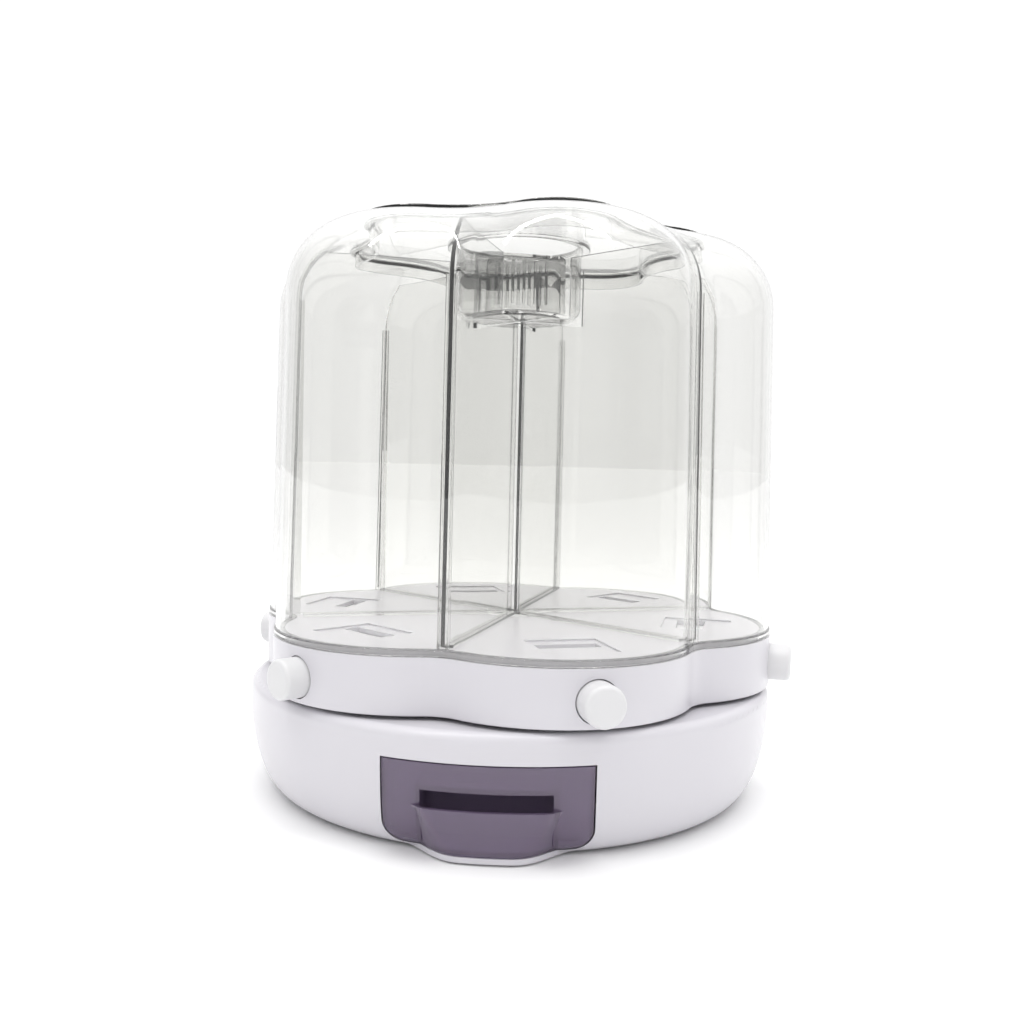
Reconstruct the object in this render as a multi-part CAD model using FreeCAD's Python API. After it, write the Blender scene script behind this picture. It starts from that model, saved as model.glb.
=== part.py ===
import FreeCAD, Part
import math
import os

# Rotating six-compartment dry-food dispenser with a collecting drawer.
# Millimetres, +Z up, origin on the floor under the spindle. The drawer faces -Y.
# Directions round the axis are measured from -Y towards +X, in degrees.

V = FreeCAD.Vector
UP = V(0, 0, 1)

# ---- Driving dimensions --------------------------------------------------

# Six-lobed outline of the carousel
LOBES = 6
LOBE_CENTRE_R = 76.3
LOBE_R = 78.9
VALLEY_R = 24.7
REST_TURN = 19.4

# Heights
FOOT_DROP = 1.2
BASE_TOP_Z = 64.0
BAND_GAP = 2.0
BAND_HEIGHT = 29.0
FLOOR_RISE = 3.5
CANISTER_HEIGHT = 222.8

# Walls
BASE_WALL = 2.6
TRAY_WALL = 2.6
CLEAR_WALL = 2.2

# Base bowl
BOWL_SIDE_INSET = 20.0
BOWL_SIDE_HEIGHT = 54.0
BASE_RIM_R = 5.0
BASE_LIP_WIDTH = 29.0
DECK_THICKNESS = 3.0
COLUMN_DIA = 10.0
COLUMN_FROM_WALL = 27.0
PLATE_R_INSET = 7.0
PLATE_GAP = 0.3
DECK_LAP = 9.0
WEB_THICKNESS = 2.4
PILOT_DEPTH = 11.0
PRESS_FIT = 0.05
SPINDLE_BOSS_WALL = 6.0
SPINDLE_BOSS_HEIGHT = 8.0
SPINDLE_FLANGE = 4.0
SPINDLE_FLANGE_HEIGHT = 3.0
CHUTE_WALL = 2.0
CHUTE_MARGIN = 6.0
CHUTE_OUT_MARGIN = 2.0
CHUTE_SIDE_MARGIN = 5.0
CHUTE_DROP_GAP = 2.0

# Drawer
DRAWER_HALF_WIDTH = 51.2
DRAWER_GAP = 0.8
DRAWER_TOP_Z = 48.4
DRAWER_CORNER_R = 11.2
DRAWER_WALL = 2.0
DRAWER_BOX_LENGTH = 98.0
DRAWER_BOX_TOP_Z = 43.0
POCKET_HALF_WIDTH = 32.0
POCKET_TOP_Z = 35.0
POCKET_DEPTH = 23.0
PULL_TOP_Z = 26.8
PULL_WALL = 2.2
PULL_PROUD = 4.0
PULL_FLAT_HALF = 29.0
PULL_HALF_WIDTH = 38.5
CHIN_PROUD = 17.2
CHIN_FLAT_HALF = 12.0
CHIN_HALF_WIDTH = 48.0

# Spindle and bearing
SPINDLE_DIA = 16.0
SPINDLE_CLEARANCE = 0.06
BUSH_WALL = 2.0
HUB_LENGTH = 15.0
HUB_WALL = 6.0
HUB_RECESS_DIA = 36.0
WASHER_DIA = 28.0
WASHER_THICKNESS = 1.6
GLIDE_R = 92.0
GLIDE_LENGTH = 26.0
GLIDE_WIDTH = 10.0
GLIDE_GAP = 0.3
GLIDE_POCKET = 1.2
RUNNER_WIDTH = 3.0
RUNNER_HEIGHT = 18.0
RUNNER_FOOT_WIDTH = 11.0
RUNNER_FOOT_HEIGHT = 3.0
RUNNER_SCREW_SIDE = 7.0
RUNNER_SCREW_LENGTH = 3.0

# Release mechanism, one set in each lobe
BUTTON_DIA = 21.0
BUTTON_PROTRUSION = 12.0
BUTTON_TRAVEL = 10.0
BUTTON_GAP = 0.6
BUTTON_EDGE_R = 2.5
BUTTON_WALL = 2.0
BUTTON_LENGTH = 24.0
BUTTON_DROP = 19.3
STEM_DIA = 8.0
STEM_LENGTH = 17.0
SPRING_OD = 13.0
SPRING_WIRE = 1.2
SPRING_TURNS = 6
SLOT_R = 104.0
SLOT_LENGTH = 10.0
SLOT_WIDTH = 34.0
HATCH_RECESS = 1.0
HATCH_MARGIN = 6.0
SHUTTER_THICKNESS = 1.8
SHUTTER_GAP = 0.4
SHUTTER_WIDTH = 44.0
SHUTTER_LAP = 12.0
STOP_WALL = 2.4
STOP_GAP = 4.0
PILLAR_DIA = 8.0
PILLAR_FROM_LOBE_CENTRE = 36.0
SCREW_SINK = 1.2
HATCH_BORDER = 3.0
CAP_GAP = 0.1
UNDERPLATE_THICKNESS = 2.0
UNDERPLATE_RISE = 1.7

# Canister, partition and lid
CANISTER_INSET = 1.2
CANISTER_DRAFT = 1.03
SHOULDER_R = 40.0
FLANGE_INSET = 0.3
FLANGE_WIDTH = 5.8
SEAT_GAP = 0.4
VANE_THICKNESS = 2.2
VANE_GAP = 0.8
VANE_FOOT_WIDTH = 8.0
VANE_FOOT_HEIGHT = 1.6
CORE_DIA = 10.0
NOTCH_R = 42.0
RIB_THICKNESS = 1.4
RIB_DEPTH = 5.0
OPENING_LAND = 3.3
LID_OVERLAP = 3.1
LID_THICKNESS = 2.2
LID_SKIRT = 10.8
SEAL_THICKNESS = 1.0
SEAL_WIDTH = 2.2
CUP_R = 38.4
CUP_DEPTH = 48.0
CUP_CORNER_R = 9.0
CUP_FLANGE = 4.6
GRIP_WIDTH = 18.0
GRIP_BELOW_TOP = 7.0
GRIP_RIBS = 5

# Fasteners and feet
SCREW_DIA = 3.0
SCREW_HEAD_DIA = 5.6
SCREW_HEAD_HEIGHT = 1.8
SCREW_LENGTH = 10.0
SCREW_PLAY = 0.4
FOOT_DIA = 18.0
FOOT_FROM_EDGE = 16.0
FOOT_GAP = 0.2
FOOT_RECESS = 1.2

# ---- Derived sizes -------------------------------------------------------

BODY_R = LOBE_CENTRE_R + LOBE_R
STEP = 360.0 / LOBES
BAND_Z = BASE_TOP_Z + BAND_GAP
LEDGE_Z = BAND_Z + BAND_HEIGHT
FLOOR_Z = LEDGE_Z + FLOOR_RISE
DOME_Z = FLOOR_Z + CANISTER_HEIGHT
RAISED_INSET = FLANGE_INSET + FLANGE_WIDTH + SEAT_GAP
PLATE_TOP_Z = FOOT_DROP + BASE_WALL
PLATE_R = BODY_R - BOWL_SIDE_INSET - PLATE_R_INSET
LIP_R = BODY_R - BASE_LIP_WIDTH
DECK_TOP_Z = BASE_TOP_Z - BASE_WALL
DECK_Z = DECK_TOP_Z - DECK_THICKNESS
DECK_R = LIP_R + DECK_LAP
COLUMN_R = BODY_R - COLUMN_FROM_WALL - BASE_WALL - COLUMN_DIA / 2
UNDERPLATE_Z = BAND_Z + UNDERPLATE_RISE
UNDERPLATE_TOP_Z = UNDERPLATE_Z + UNDERPLATE_THICKNESS
TRAY_FLOOR_UNDER_Z = FLOOR_Z - TRAY_WALL
BUTTON_Z = FLOOR_Z - BUTTON_DROP
BUTTON_TIP_R = BODY_R + BUTTON_PROTRUSION
BUTTON_BACK_R = BUTTON_TIP_R - BUTTON_LENGTH
STOP_R = SLOT_R + SLOT_LENGTH + STOP_GAP
SHUTTER_TOP_Z = TRAY_FLOOR_UNDER_Z - HATCH_RECESS - SHUTTER_GAP
SHUTTER_Z = SHUTTER_TOP_Z - SHUTTER_THICKNESS
SHUTTER_IN_R = SLOT_R - SHUTTER_LAP
SHUTTER_OUT_R = LOBE_CENTRE_R + math.sqrt((LOBE_R - RAISED_INSET - TRAY_WALL - 1.0) ** 2
                                          - (SHUTTER_WIDTH / 2) ** 2)
DRAWER_FLOOR_Z = PLATE_TOP_Z + DRAWER_GAP
POCKET_BACK_Y = -(BODY_R - POCKET_DEPTH - 4.0)
BOX_FRONT_Y = POCKET_BACK_Y + PULL_WALL
CHUTE_IN_R = SLOT_R - CHUTE_MARGIN
CHUTE_OUT_R = SLOT_R + SLOT_LENGTH + CHUTE_OUT_MARGIN
CHUTE_HALF_WIDTH = SLOT_WIDTH / 2 + CHUTE_SIDE_MARGIN
TOP_INSET = CANISTER_INSET + CANISTER_HEIGHT * math.tan(math.radians(CANISTER_DRAFT))
LAND_INSET = TOP_INSET + SHOULDER_R
OPENING_INSET = LAND_INSET + OPENING_LAND
SEAL_Z = DOME_Z + 0.1
LID_Z = SEAL_Z + SEAL_THICKNESS
LID_TOP_Z = LID_Z + LID_THICKNESS
SKIRT_Z = LID_Z - LID_SKIRT
CUP_Z = LID_TOP_Z - CUP_DEPTH
NOTCH_Z = CUP_Z - VANE_GAP
VANE_TOP_Z = SKIRT_Z - VANE_GAP
HUB_TOP_Z = UNDERPLATE_Z + HUB_LENGTH
BUSH_R = SPINDLE_DIA / 2 + SPINDLE_CLEARANCE + BUSH_WALL


# ---- Helpers -------------------------------------------------------------

def at(radius, angle, z):
    """Point at a radius and a direction from -Y towards +X."""
    a = math.radians(angle)
    return V(radius * math.sin(a), -radius * math.cos(a), z)


def turned(shape, angle):
    """Copy of a shape built on the -Y side, turned to a direction."""
    copy = shape.copy()
    copy.rotate(V(0, 0, 0), UP, angle)
    return copy


def around(shape, start, count=LOBES):
    """Copies of a shape at even steps round the axis."""
    return [turned(shape, start + i * 360.0 / count) for i in range(count)]


def fused(shapes):
    """One clean solid from touching shapes."""
    result = shapes[0]
    if len(shapes) > 1:
        result = shapes[0].multiFuse(shapes[1:])
    return result.removeSplitter()


def box(x0, x1, y0, y1, z0, z1):
    """Box between two corners."""
    return Part.makeBox(x1 - x0, y1 - y0, z1 - z0, V(x0, y0, z0))


def cylinder(radius, z0, z1, centre=None):
    """Upright cylinder, on the axis unless a centre is given."""
    place = V(0, 0, z0) if centre is None else V(centre.x, centre.y, z0)
    return Part.makeCylinder(radius, z1 - z0, place)


def ring(outer, inner, z0, z1):
    """Flat ring on the axis."""
    return cylinder(outer, z0, z1).cut(cylinder(inner, z0, z1))


def radial_rod(radius, r0, r1, z):
    """Rod that lies along the -Y direction between two radii."""
    return Part.makeCylinder(radius, r1 - r0, V(0, -r0, z), V(0, -1, 0))


def lobed_wire(inset, z):
    """Closed six-lobed outline, a distance inside the band's outline."""
    fillet_r = (LOBE_CENTRE_R * math.cos(math.pi / LOBES)
                + math.sqrt((LOBE_R + VALLEY_R) ** 2
                            - (LOBE_CENTRE_R * math.sin(math.pi / LOBES)) ** 2))
    edges = []
    for i in range(LOBES):
        lobe = REST_TURN + i * STEP
        here = at(LOBE_CENTRE_R, lobe, z)
        before = at(fillet_r, lobe - STEP / 2, z)
        after = at(fillet_r, lobe + STEP / 2, z)
        start = here + (before - here).normalize() * (LOBE_R - inset)
        end = here + (after - here).normalize() * (LOBE_R - inset)
        following = at(LOBE_CENTRE_R, lobe + STEP, z)
        valley_end = following + (after - following).normalize() * (LOBE_R - inset)
        crest = at(BODY_R - inset, lobe, z)
        valley = at(fillet_r - VALLEY_R - inset, lobe + STEP / 2, z)
        edges.append(Part.Arc(start, crest, end).toShape())
        edges.append(Part.Arc(end, valley, valley_end).toShape())
    return Part.Wire(edges)


def lobed_prism(inset, z0, z1):
    """Straight six-lobed prism."""
    return Part.Face(lobed_wire(inset, z0)).extrude(V(0, 0, z1 - z0))


def lobed_ring(outer_inset, inner_inset, z0, z1):
    """Six-lobed ring between two insets."""
    return lobed_prism(outer_inset, z0, z1).cut(lobed_prism(inner_inset, z0, z1))


def screw_down(length=SCREW_LENGTH):
    """Pan-head screw with its head above z = 0 and its shank below."""
    head = Part.makeCylinder(SCREW_HEAD_DIA / 2, SCREW_HEAD_HEIGHT)
    rim = [e for e in head.Edges if e.BoundBox.ZMin > SCREW_HEAD_HEIGHT - 0.01 and e.Closed]
    head = head.makeFillet(SCREW_HEAD_HEIGHT * 0.4, rim)
    cross = fused([box(-1.6, 1.6, -0.4, 0.4, 0.8, SCREW_HEAD_HEIGHT),
                   box(-0.4, 0.4, -1.6, 1.6, 0.8, SCREW_HEAD_HEIGHT)])
    shank = Part.makeCylinder(SCREW_DIA / 2, length, V(0, 0, -length))
    return fused([head, shank]).cut(cross)


def screw_up(length=SCREW_LENGTH):
    """The same screw with its head below z = 0, driven upwards."""
    screw = screw_down(length)
    screw.rotate(V(0, 0, 0), V(1, 0, 0), 180)
    return screw


def placed(shape, point):
    """Copy moved to a point."""
    copy = shape.copy()
    copy.translate(point)
    return copy


def save(name, shape):
    """Write one node as STEP, after checking its solids."""
    solids = shape.Solids
    assert solids, name + " has no solid"
    assert all(s.isValid() and s.isClosed() for s in solids), name + " is not valid"
    out = solids[0] if len(solids) == 1 else Part.makeCompound(solids)
    out.exportStep(os.path.join("parts", name + ".step"))
    volume = sum(s.Volume for s in solids)
    print("%-22s solids %2d  volume %9.1f mm3" % (name, len(solids), volume))


# ---- Base ----------------------------------------------------------------

def bowl(inset, z0, z1):
    """Solid bowl whose side curves in towards its foot, a distance inside the outer skin."""
    wide = BODY_R - inset
    centre = V(BODY_R - BOWL_SIDE_INSET, 0, FOOT_DROP + BOWL_SIDE_HEIGHT)
    drop = BOWL_SIDE_HEIGHT - inset
    side = BOWL_SIDE_INSET - inset
    half = math.sqrt(0.5)
    foot = V(centre.x, 0, centre.z - drop)
    shoulder = V(wide, 0, centre.z)
    ellipse = Part.Ellipse(V(centre.x, 0, centre.z - drop), shoulder, centre)
    arc = Part.ArcOfEllipse(ellipse, ellipse.parameter(foot), ellipse.parameter(shoulder))
    rim_r = BASE_RIM_R - inset if inset < BASE_RIM_R else 0.5
    rim_low = V(wide, 0, z1 - rim_r)
    rim_mid = V(wide - rim_r * (1 - half), 0, z1 - rim_r * (1 - half))
    rim_end = V(wide - rim_r, 0, z1)
    edges = [Part.LineSegment(V(0, 0, foot.z), foot).toShape(),
             arc.toShape(),
             Part.LineSegment(shoulder, rim_low).toShape(),
             Part.Arc(rim_low, rim_mid, rim_end).toShape(),
             Part.LineSegment(rim_end, V(0, 0, z1)).toShape(),
             Part.LineSegment(V(0, 0, z1), V(0, 0, foot.z)).toShape()]
    face = Part.Face(Part.Wire(Part.__sortEdges__(edges)))
    solid = face.revolve(V(0, 0, 0), UP, 360)
    if solid.Volume < 0:
        solid.reverse()
    return solid.common(cylinder(BODY_R + 1, z0, z1))


def bulge_wire(foot_r, proud, flat_x, end_x, z):
    """Bell-shaped outline that stands out past a circle of the bowl at the front."""
    front_r = foot_r + proud
    flat_y = -math.sqrt(front_r ** 2 - flat_x ** 2)
    end_y = -math.sqrt(foot_r ** 2 - end_x ** 2)
    back_y = end_y + 20.0
    reach = (end_x - flat_x) * 0.45

    def flank(side):
        curve = Part.BezierCurve()
        curve.setPoles([V(side * flat_x, flat_y, z),
                        V(side * (flat_x + reach), flat_y + reach * flat_x / -flat_y, z),
                        V(side * (end_x - reach), end_y - reach * end_x / -end_y, z),
                        V(side * end_x, end_y, z)])
        return curve.toShape()

    front = Part.Arc(V(-flat_x, flat_y, z), V(0, -front_r, z), V(flat_x, flat_y, z))
    edges = [front.toShape(),
             flank(1),
             Part.LineSegment(V(end_x, end_y, z), V(end_x, back_y, z)).toShape(),
             Part.LineSegment(V(end_x, back_y, z), V(-end_x, back_y, z)).toShape(),
             Part.LineSegment(V(-end_x, back_y, z), V(-end_x, end_y, z)).toShape(),
             flank(-1)]
    return Part.Wire(Part.__sortEdges__(edges))


def bowl_radius(z):
    """Radius of the bowl's outer skin at a height."""
    drop = max(0.0, FOOT_DROP + BOWL_SIDE_HEIGHT - z) / BOWL_SIDE_HEIGHT
    return BODY_R - BOWL_SIDE_INSET * (1 - math.sqrt(max(0.0, 1 - drop ** 2)))


def chin_wire(inset, z):
    """Outline of the base's chin, under the drawer's pull."""
    foot_r = BODY_R - BOWL_SIDE_INSET - inset
    return bulge_wire(foot_r, CHIN_PROUD, CHIN_FLAT_HALF, CHIN_HALF_WIDTH - inset, z)


def chin_prism(inset, z0, z1):
    """Upright prism on the chin's outline."""
    return Part.Face(chin_wire(inset, z0)).extrude(V(0, 0, z1 - z0))


def pull_solid(inset, z0, z1):
    """Solid that widens from the chin's outline up to the pull's wide lip."""
    lip_r = bowl_radius(PULL_TOP_Z) - inset
    lip = bulge_wire(lip_r, PULL_PROUD, PULL_FLAT_HALF, PULL_HALF_WIDTH - inset, z1)
    return Part.makeLoft([chin_wire(inset, z0), lip], True, True)


def drawer_prism(grow, y0, y1, top_z):
    """Prism along Y with the drawer's round-bottomed section, grown by a clearance."""
    half = DRAWER_HALF_WIDTH + grow
    low = DRAWER_FLOOR_Z - grow
    high = top_z + grow
    prism = box(-half, half, y0, y1, low, high)
    lower = [e for e in prism.Edges
             if abs(e.BoundBox.ZMax - low) < 0.01 and e.BoundBox.XLength < 0.01]
    return prism.makeFillet(DRAWER_CORNER_R + grow, lower)


def column_angles():
    """Directions of the base columns, clear of the drawer."""
    return [STEP / 2 + i * STEP for i in range(LOBES)]


def base_shell():
    """Outer bowl with its top lip, inner columns and the drawer window."""
    skin = bowl(0, FOOT_DROP, BASE_TOP_Z)
    cavity = bowl(BASE_WALL, FOOT_DROP + BASE_WALL, BASE_TOP_Z - BASE_WALL)
    chin = chin_prism(0, FOOT_DROP, DRAWER_TOP_Z)
    chin_hollow = chin_prism(BASE_WALL, PLATE_TOP_Z, DRAWER_TOP_Z - BASE_WALL)
    shell = skin.fuse(chin).cut(cavity).cut(chin_hollow)
    shell = shell.cut(cylinder(LIP_R, DECK_TOP_Z, BASE_TOP_Z + 1))
    shell = shell.cut(cylinder(PLATE_R + PLATE_GAP, FOOT_DROP - 1, PLATE_TOP_Z + 0.01))
    column = cylinder(COLUMN_DIA / 2, PLATE_TOP_Z, DECK_Z, V(0, -COLUMN_R, 0))
    web = box(-WEB_THICKNESS / 2, WEB_THICKNESS / 2, -(BODY_R - 1.0), -COLUMN_R, PLATE_TOP_Z, DECK_Z)
    web = web.common(bowl(BASE_WALL / 2, FOOT_DROP, BASE_TOP_Z - BASE_WALL / 2))
    post = column.fuse(web)
    pilot_r = SCREW_DIA / 2 - PRESS_FIT
    hole = cylinder(pilot_r, PLATE_TOP_Z - 1, PLATE_TOP_Z + PILOT_DEPTH, V(0, -COLUMN_R, 0))
    top_hole = cylinder(pilot_r, DECK_Z - PILOT_DEPTH, DECK_Z + 1, V(0, -COLUMN_R, 0))
    post = post.cut(hole).cut(top_hole)
    posts = [turned(post, a) for a in column_angles()]
    shell = fused([shell] + posts)
    window = drawer_prism(DRAWER_GAP, -BODY_R - 5, BOX_FRONT_Y, DRAWER_TOP_Z)
    return shell.cut(window)


def base_plate():
    """Bottom cover with recesses for the feet and screw holes."""
    plate = cylinder(PLATE_R, FOOT_DROP, PLATE_TOP_Z)
    for angle in column_angles():
        spot = at(COLUMN_R, angle, 0)
        plate = plate.cut(cylinder(SCREW_DIA / 2 + SCREW_PLAY, FOOT_DROP - 1, PLATE_TOP_Z + 1, spot))
        plate = plate.cut(cylinder(SCREW_HEAD_DIA / 2 + SCREW_PLAY, FOOT_DROP - 1,
                                   FOOT_DROP + SCREW_HEAD_HEIGHT, spot))
    for foot in foot_spots():
        plate = plate.cut(cylinder(FOOT_DIA / 2 + FOOT_GAP, FOOT_DROP - 1, FOOT_DROP + FOOT_RECESS, foot))
    return plate


def foot_spots():
    """Centres of the rubber feet."""
    return [at(PLATE_R - FOOT_FROM_EDGE, i * STEP, 0) for i in range(LOBES)]


def rubber_feet():
    """Six round feet set in the bottom cover."""
    foot = Part.makeCylinder(FOOT_DIA / 2, FOOT_DROP + FOOT_RECESS)
    rim = [e for e in foot.Edges if e.BoundBox.ZMax < 0.01 and e.Closed]
    foot = foot.makeFillet(0.8, rim)
    return Part.makeCompound([placed(foot, spot) for spot in foot_spots()])


def base_plate_screws():
    """Screws that hold the bottom cover to the columns."""
    z = FOOT_DROP + SCREW_HEAD_HEIGHT
    return Part.makeCompound([placed(screw_up(), at(COLUMN_R, a, z)) for a in column_angles()])


def deck():
    """Fixed plate under the carousel, with the drop chute down to the drawer."""
    plate = cylinder(DECK_R, DECK_Z, DECK_TOP_Z)
    outer = box(-CHUTE_HALF_WIDTH - CHUTE_WALL, CHUTE_HALF_WIDTH + CHUTE_WALL,
                -CHUTE_OUT_R - CHUTE_WALL, -CHUTE_IN_R + CHUTE_WALL,
                DRAWER_BOX_TOP_Z + CHUTE_DROP_GAP, DECK_Z + 0.5)
    inner = box(-CHUTE_HALF_WIDTH, CHUTE_HALF_WIDTH, -CHUTE_OUT_R, -CHUTE_IN_R,
                DRAWER_BOX_TOP_Z, DECK_TOP_Z + 1)
    boss_z = DECK_Z - SPINDLE_BOSS_HEIGHT
    boss = cylinder(SPINDLE_DIA / 2 + SPINDLE_BOSS_WALL, boss_z, DECK_Z + 0.5)
    plate = fused([plate, outer, boss]).cut(inner)
    plate = plate.cut(cylinder(SPINDLE_DIA / 2, boss_z - 1, DECK_TOP_Z + 1))
    for angle in column_angles():
        plate = plate.cut(cylinder(SCREW_DIA / 2 + SCREW_PLAY, DECK_Z - 1, DECK_TOP_Z + 1,
                                   at(COLUMN_R, angle, 0)))
    for angle in glide_angles():
        plate = plate.cut(turned(glide_pocket(), angle))
    return plate


def glide_angles():
    """Directions of the glide pads, between the columns' directions."""
    return [STEP / 4 + i * STEP for i in range(LOBES)]


def glide_pocket():
    """Shallow pocket that holds a glide pad."""
    return box(-GLIDE_LENGTH / 2, GLIDE_LENGTH / 2, -GLIDE_R - GLIDE_WIDTH / 2,
               -GLIDE_R + GLIDE_WIDTH / 2, DECK_TOP_Z - GLIDE_POCKET, DECK_TOP_Z + 1)


def glide_pads():
    """Low-friction pads that the carousel turns on."""
    pad = box(-GLIDE_LENGTH / 2, GLIDE_LENGTH / 2, -GLIDE_R - GLIDE_WIDTH / 2,
              -GLIDE_R + GLIDE_WIDTH / 2, DECK_TOP_Z - GLIDE_POCKET, UNDERPLATE_Z - GLIDE_GAP)
    upper = [e for e in pad.Edges if e.BoundBox.ZMin > UNDERPLATE_Z - GLIDE_GAP - 0.01]
    pad = pad.makeFillet(1.0, upper)
    return Part.makeCompound([turned(pad, a) for a in glide_angles()])


def deck_screws():
    """Screws that hold the deck to the columns, under the shell's lip."""
    shank = screw_down()
    return Part.makeCompound([placed(shank, at(COLUMN_R, a, DECK_TOP_Z)) for a in column_angles()])


def spindle():
    """Steel spindle pressed up through the deck's boss, tapped at its top."""
    boss_z = DECK_Z - SPINDLE_BOSS_HEIGHT
    flange = cylinder(SPINDLE_DIA / 2 + SPINDLE_FLANGE, boss_z - SPINDLE_FLANGE_HEIGHT, boss_z)
    shaft = cylinder(SPINDLE_DIA / 2, boss_z - 0.5, HUB_TOP_Z + 0.4)
    bore = cylinder(SCREW_DIA / 2 + 0.45, HUB_TOP_Z - 14, HUB_TOP_Z + 1)
    return fused([flange, shaft]).cut(bore)


def spindle_washer():
    """Washer that keeps the hub down on the spindle."""
    return ring(WASHER_DIA / 2, SCREW_DIA / 2 + 0.8, HUB_TOP_Z + 0.4,
                HUB_TOP_Z + 0.4 + WASHER_THICKNESS)


def spindle_screw():
    """Screw down the middle of the spindle."""
    z = HUB_TOP_Z + 0.4 + WASHER_THICKNESS
    head = cylinder(SCREW_HEAD_DIA / 2 + 1.4, z, z + 2.6)
    socket = Part.makePolygon([at(2.0, i * 60, z + 1.0) for i in range(7)])
    shank = cylinder(SCREW_DIA / 2 + 0.45, z - 12, z)
    return fused([head, shank]).cut(Part.Face(socket).extrude(V(0, 0, 3)))


def drawer_runner(side):
    """Guide rail beside the drawer, screwed to the bottom cover."""
    inner = DRAWER_HALF_WIDTH + DRAWER_GAP
    rail = box(inner, inner + RUNNER_WIDTH, BOX_FRONT_Y + 6, BOX_FRONT_Y + DRAWER_BOX_LENGTH,
               PLATE_TOP_Z, PLATE_TOP_Z + RUNNER_HEIGHT)
    foot = box(inner, inner + RUNNER_FOOT_WIDTH, BOX_FRONT_Y + 40,
               BOX_FRONT_Y + DRAWER_BOX_LENGTH, PLATE_TOP_Z, PLATE_TOP_Z + RUNNER_FOOT_HEIGHT)
    rail = fused([rail, foot])
    for y in runner_screw_y():
        rail = rail.cut(cylinder(SCREW_DIA / 2 + 0.1, 0, PLATE_TOP_Z + 5, V(inner + RUNNER_SCREW_SIDE, y, 0)))
    if side < 0:
        rail = rail.mirror(V(0, 0, 0), V(1, 0, 0))
    return rail


def runner_screw_y():
    """Places of the runner screws along Y."""
    return [BOX_FRONT_Y + 50.0, BOX_FRONT_Y + DRAWER_BOX_LENGTH - 8.0]


def runner_screws():
    """Four short screws through the runners."""
    x = DRAWER_HALF_WIDTH + DRAWER_GAP + RUNNER_SCREW_SIDE
    screws = []
    for side in (-1, 1):
        for y in runner_screw_y():
            spot = V(side * x, y, PLATE_TOP_Z + RUNNER_FOOT_HEIGHT)
            screws.append(placed(screw_down(RUNNER_SCREW_LENGTH), spot))
    return Part.makeCompound(screws)


# ---- Drawer --------------------------------------------------------------

def drawer_front():
    """Curved translucent front with its finger pocket and projecting pull."""
    skin = bowl(0.4, FOOT_DROP, BASE_TOP_Z).cut(bowl(0.4 + PULL_WALL, FOOT_DROP, BASE_TOP_Z))
    slab = drawer_prism(0, -BODY_R - 5, POCKET_BACK_Y + PULL_WALL, DRAWER_TOP_Z)
    panel = skin.common(slab)
    volume = bowl(0.4, FOOT_DROP, BASE_TOP_Z).common(slab)
    deep = PULL_WALL
    shell_box = box(-POCKET_HALF_WIDTH - deep, POCKET_HALF_WIDTH + deep, -BODY_R,
                    POCKET_BACK_Y + deep, DRAWER_FLOOR_Z, POCKET_TOP_Z + deep)
    pocket = box(-POCKET_HALF_WIDTH, POCKET_HALF_WIDTH, -BODY_R - 10, POCKET_BACK_Y,
                 DRAWER_FLOOR_Z + deep, POCKET_TOP_Z)
    returns = []
    for side in (-1, 1):
        outer = side * DRAWER_HALF_WIDTH
        inner = side * (DRAWER_HALF_WIDTH - deep)
        low, high = min(outer, inner), max(outer, inner)
        returns.append(box(low, high, -BODY_R, POCKET_BACK_Y + deep, DRAWER_FLOOR_Z,
                           DRAWER_BOX_TOP_Z).common(volume))
    liner = shell_box.common(volume)
    body = fused([panel, liner] + returns).cut(pocket)
    pull = pull_solid(0.4, DRAWER_FLOOR_Z, PULL_TOP_Z)
    pull_hollow = pull_solid(0.4 + deep, DRAWER_FLOOR_Z, PULL_TOP_Z)
    pull_hollow = pull_hollow.cut(box(-BODY_R, BODY_R, -BODY_R * 2, 0, 0, DRAWER_FLOOR_Z + deep))
    pull = pull.common(slab).cut(bowl(0.4 + deep, FOOT_DROP, BASE_TOP_Z)).cut(pull_hollow)
    return fused([body, pull]).Solids[0]


def drawer_tray():
    """Open box behind the front that catches the food."""
    back_y = BOX_FRONT_Y + DRAWER_BOX_LENGTH
    outer = drawer_prism(0, BOX_FRONT_Y, back_y, DRAWER_BOX_TOP_Z)
    inner = drawer_prism(-DRAWER_WALL, BOX_FRONT_Y + DRAWER_WALL, back_y - DRAWER_WALL,
                         DRAWER_BOX_TOP_Z + 10)
    return outer.cut(inner)


# ---- Carousel ------------------------------------------------------------

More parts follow.
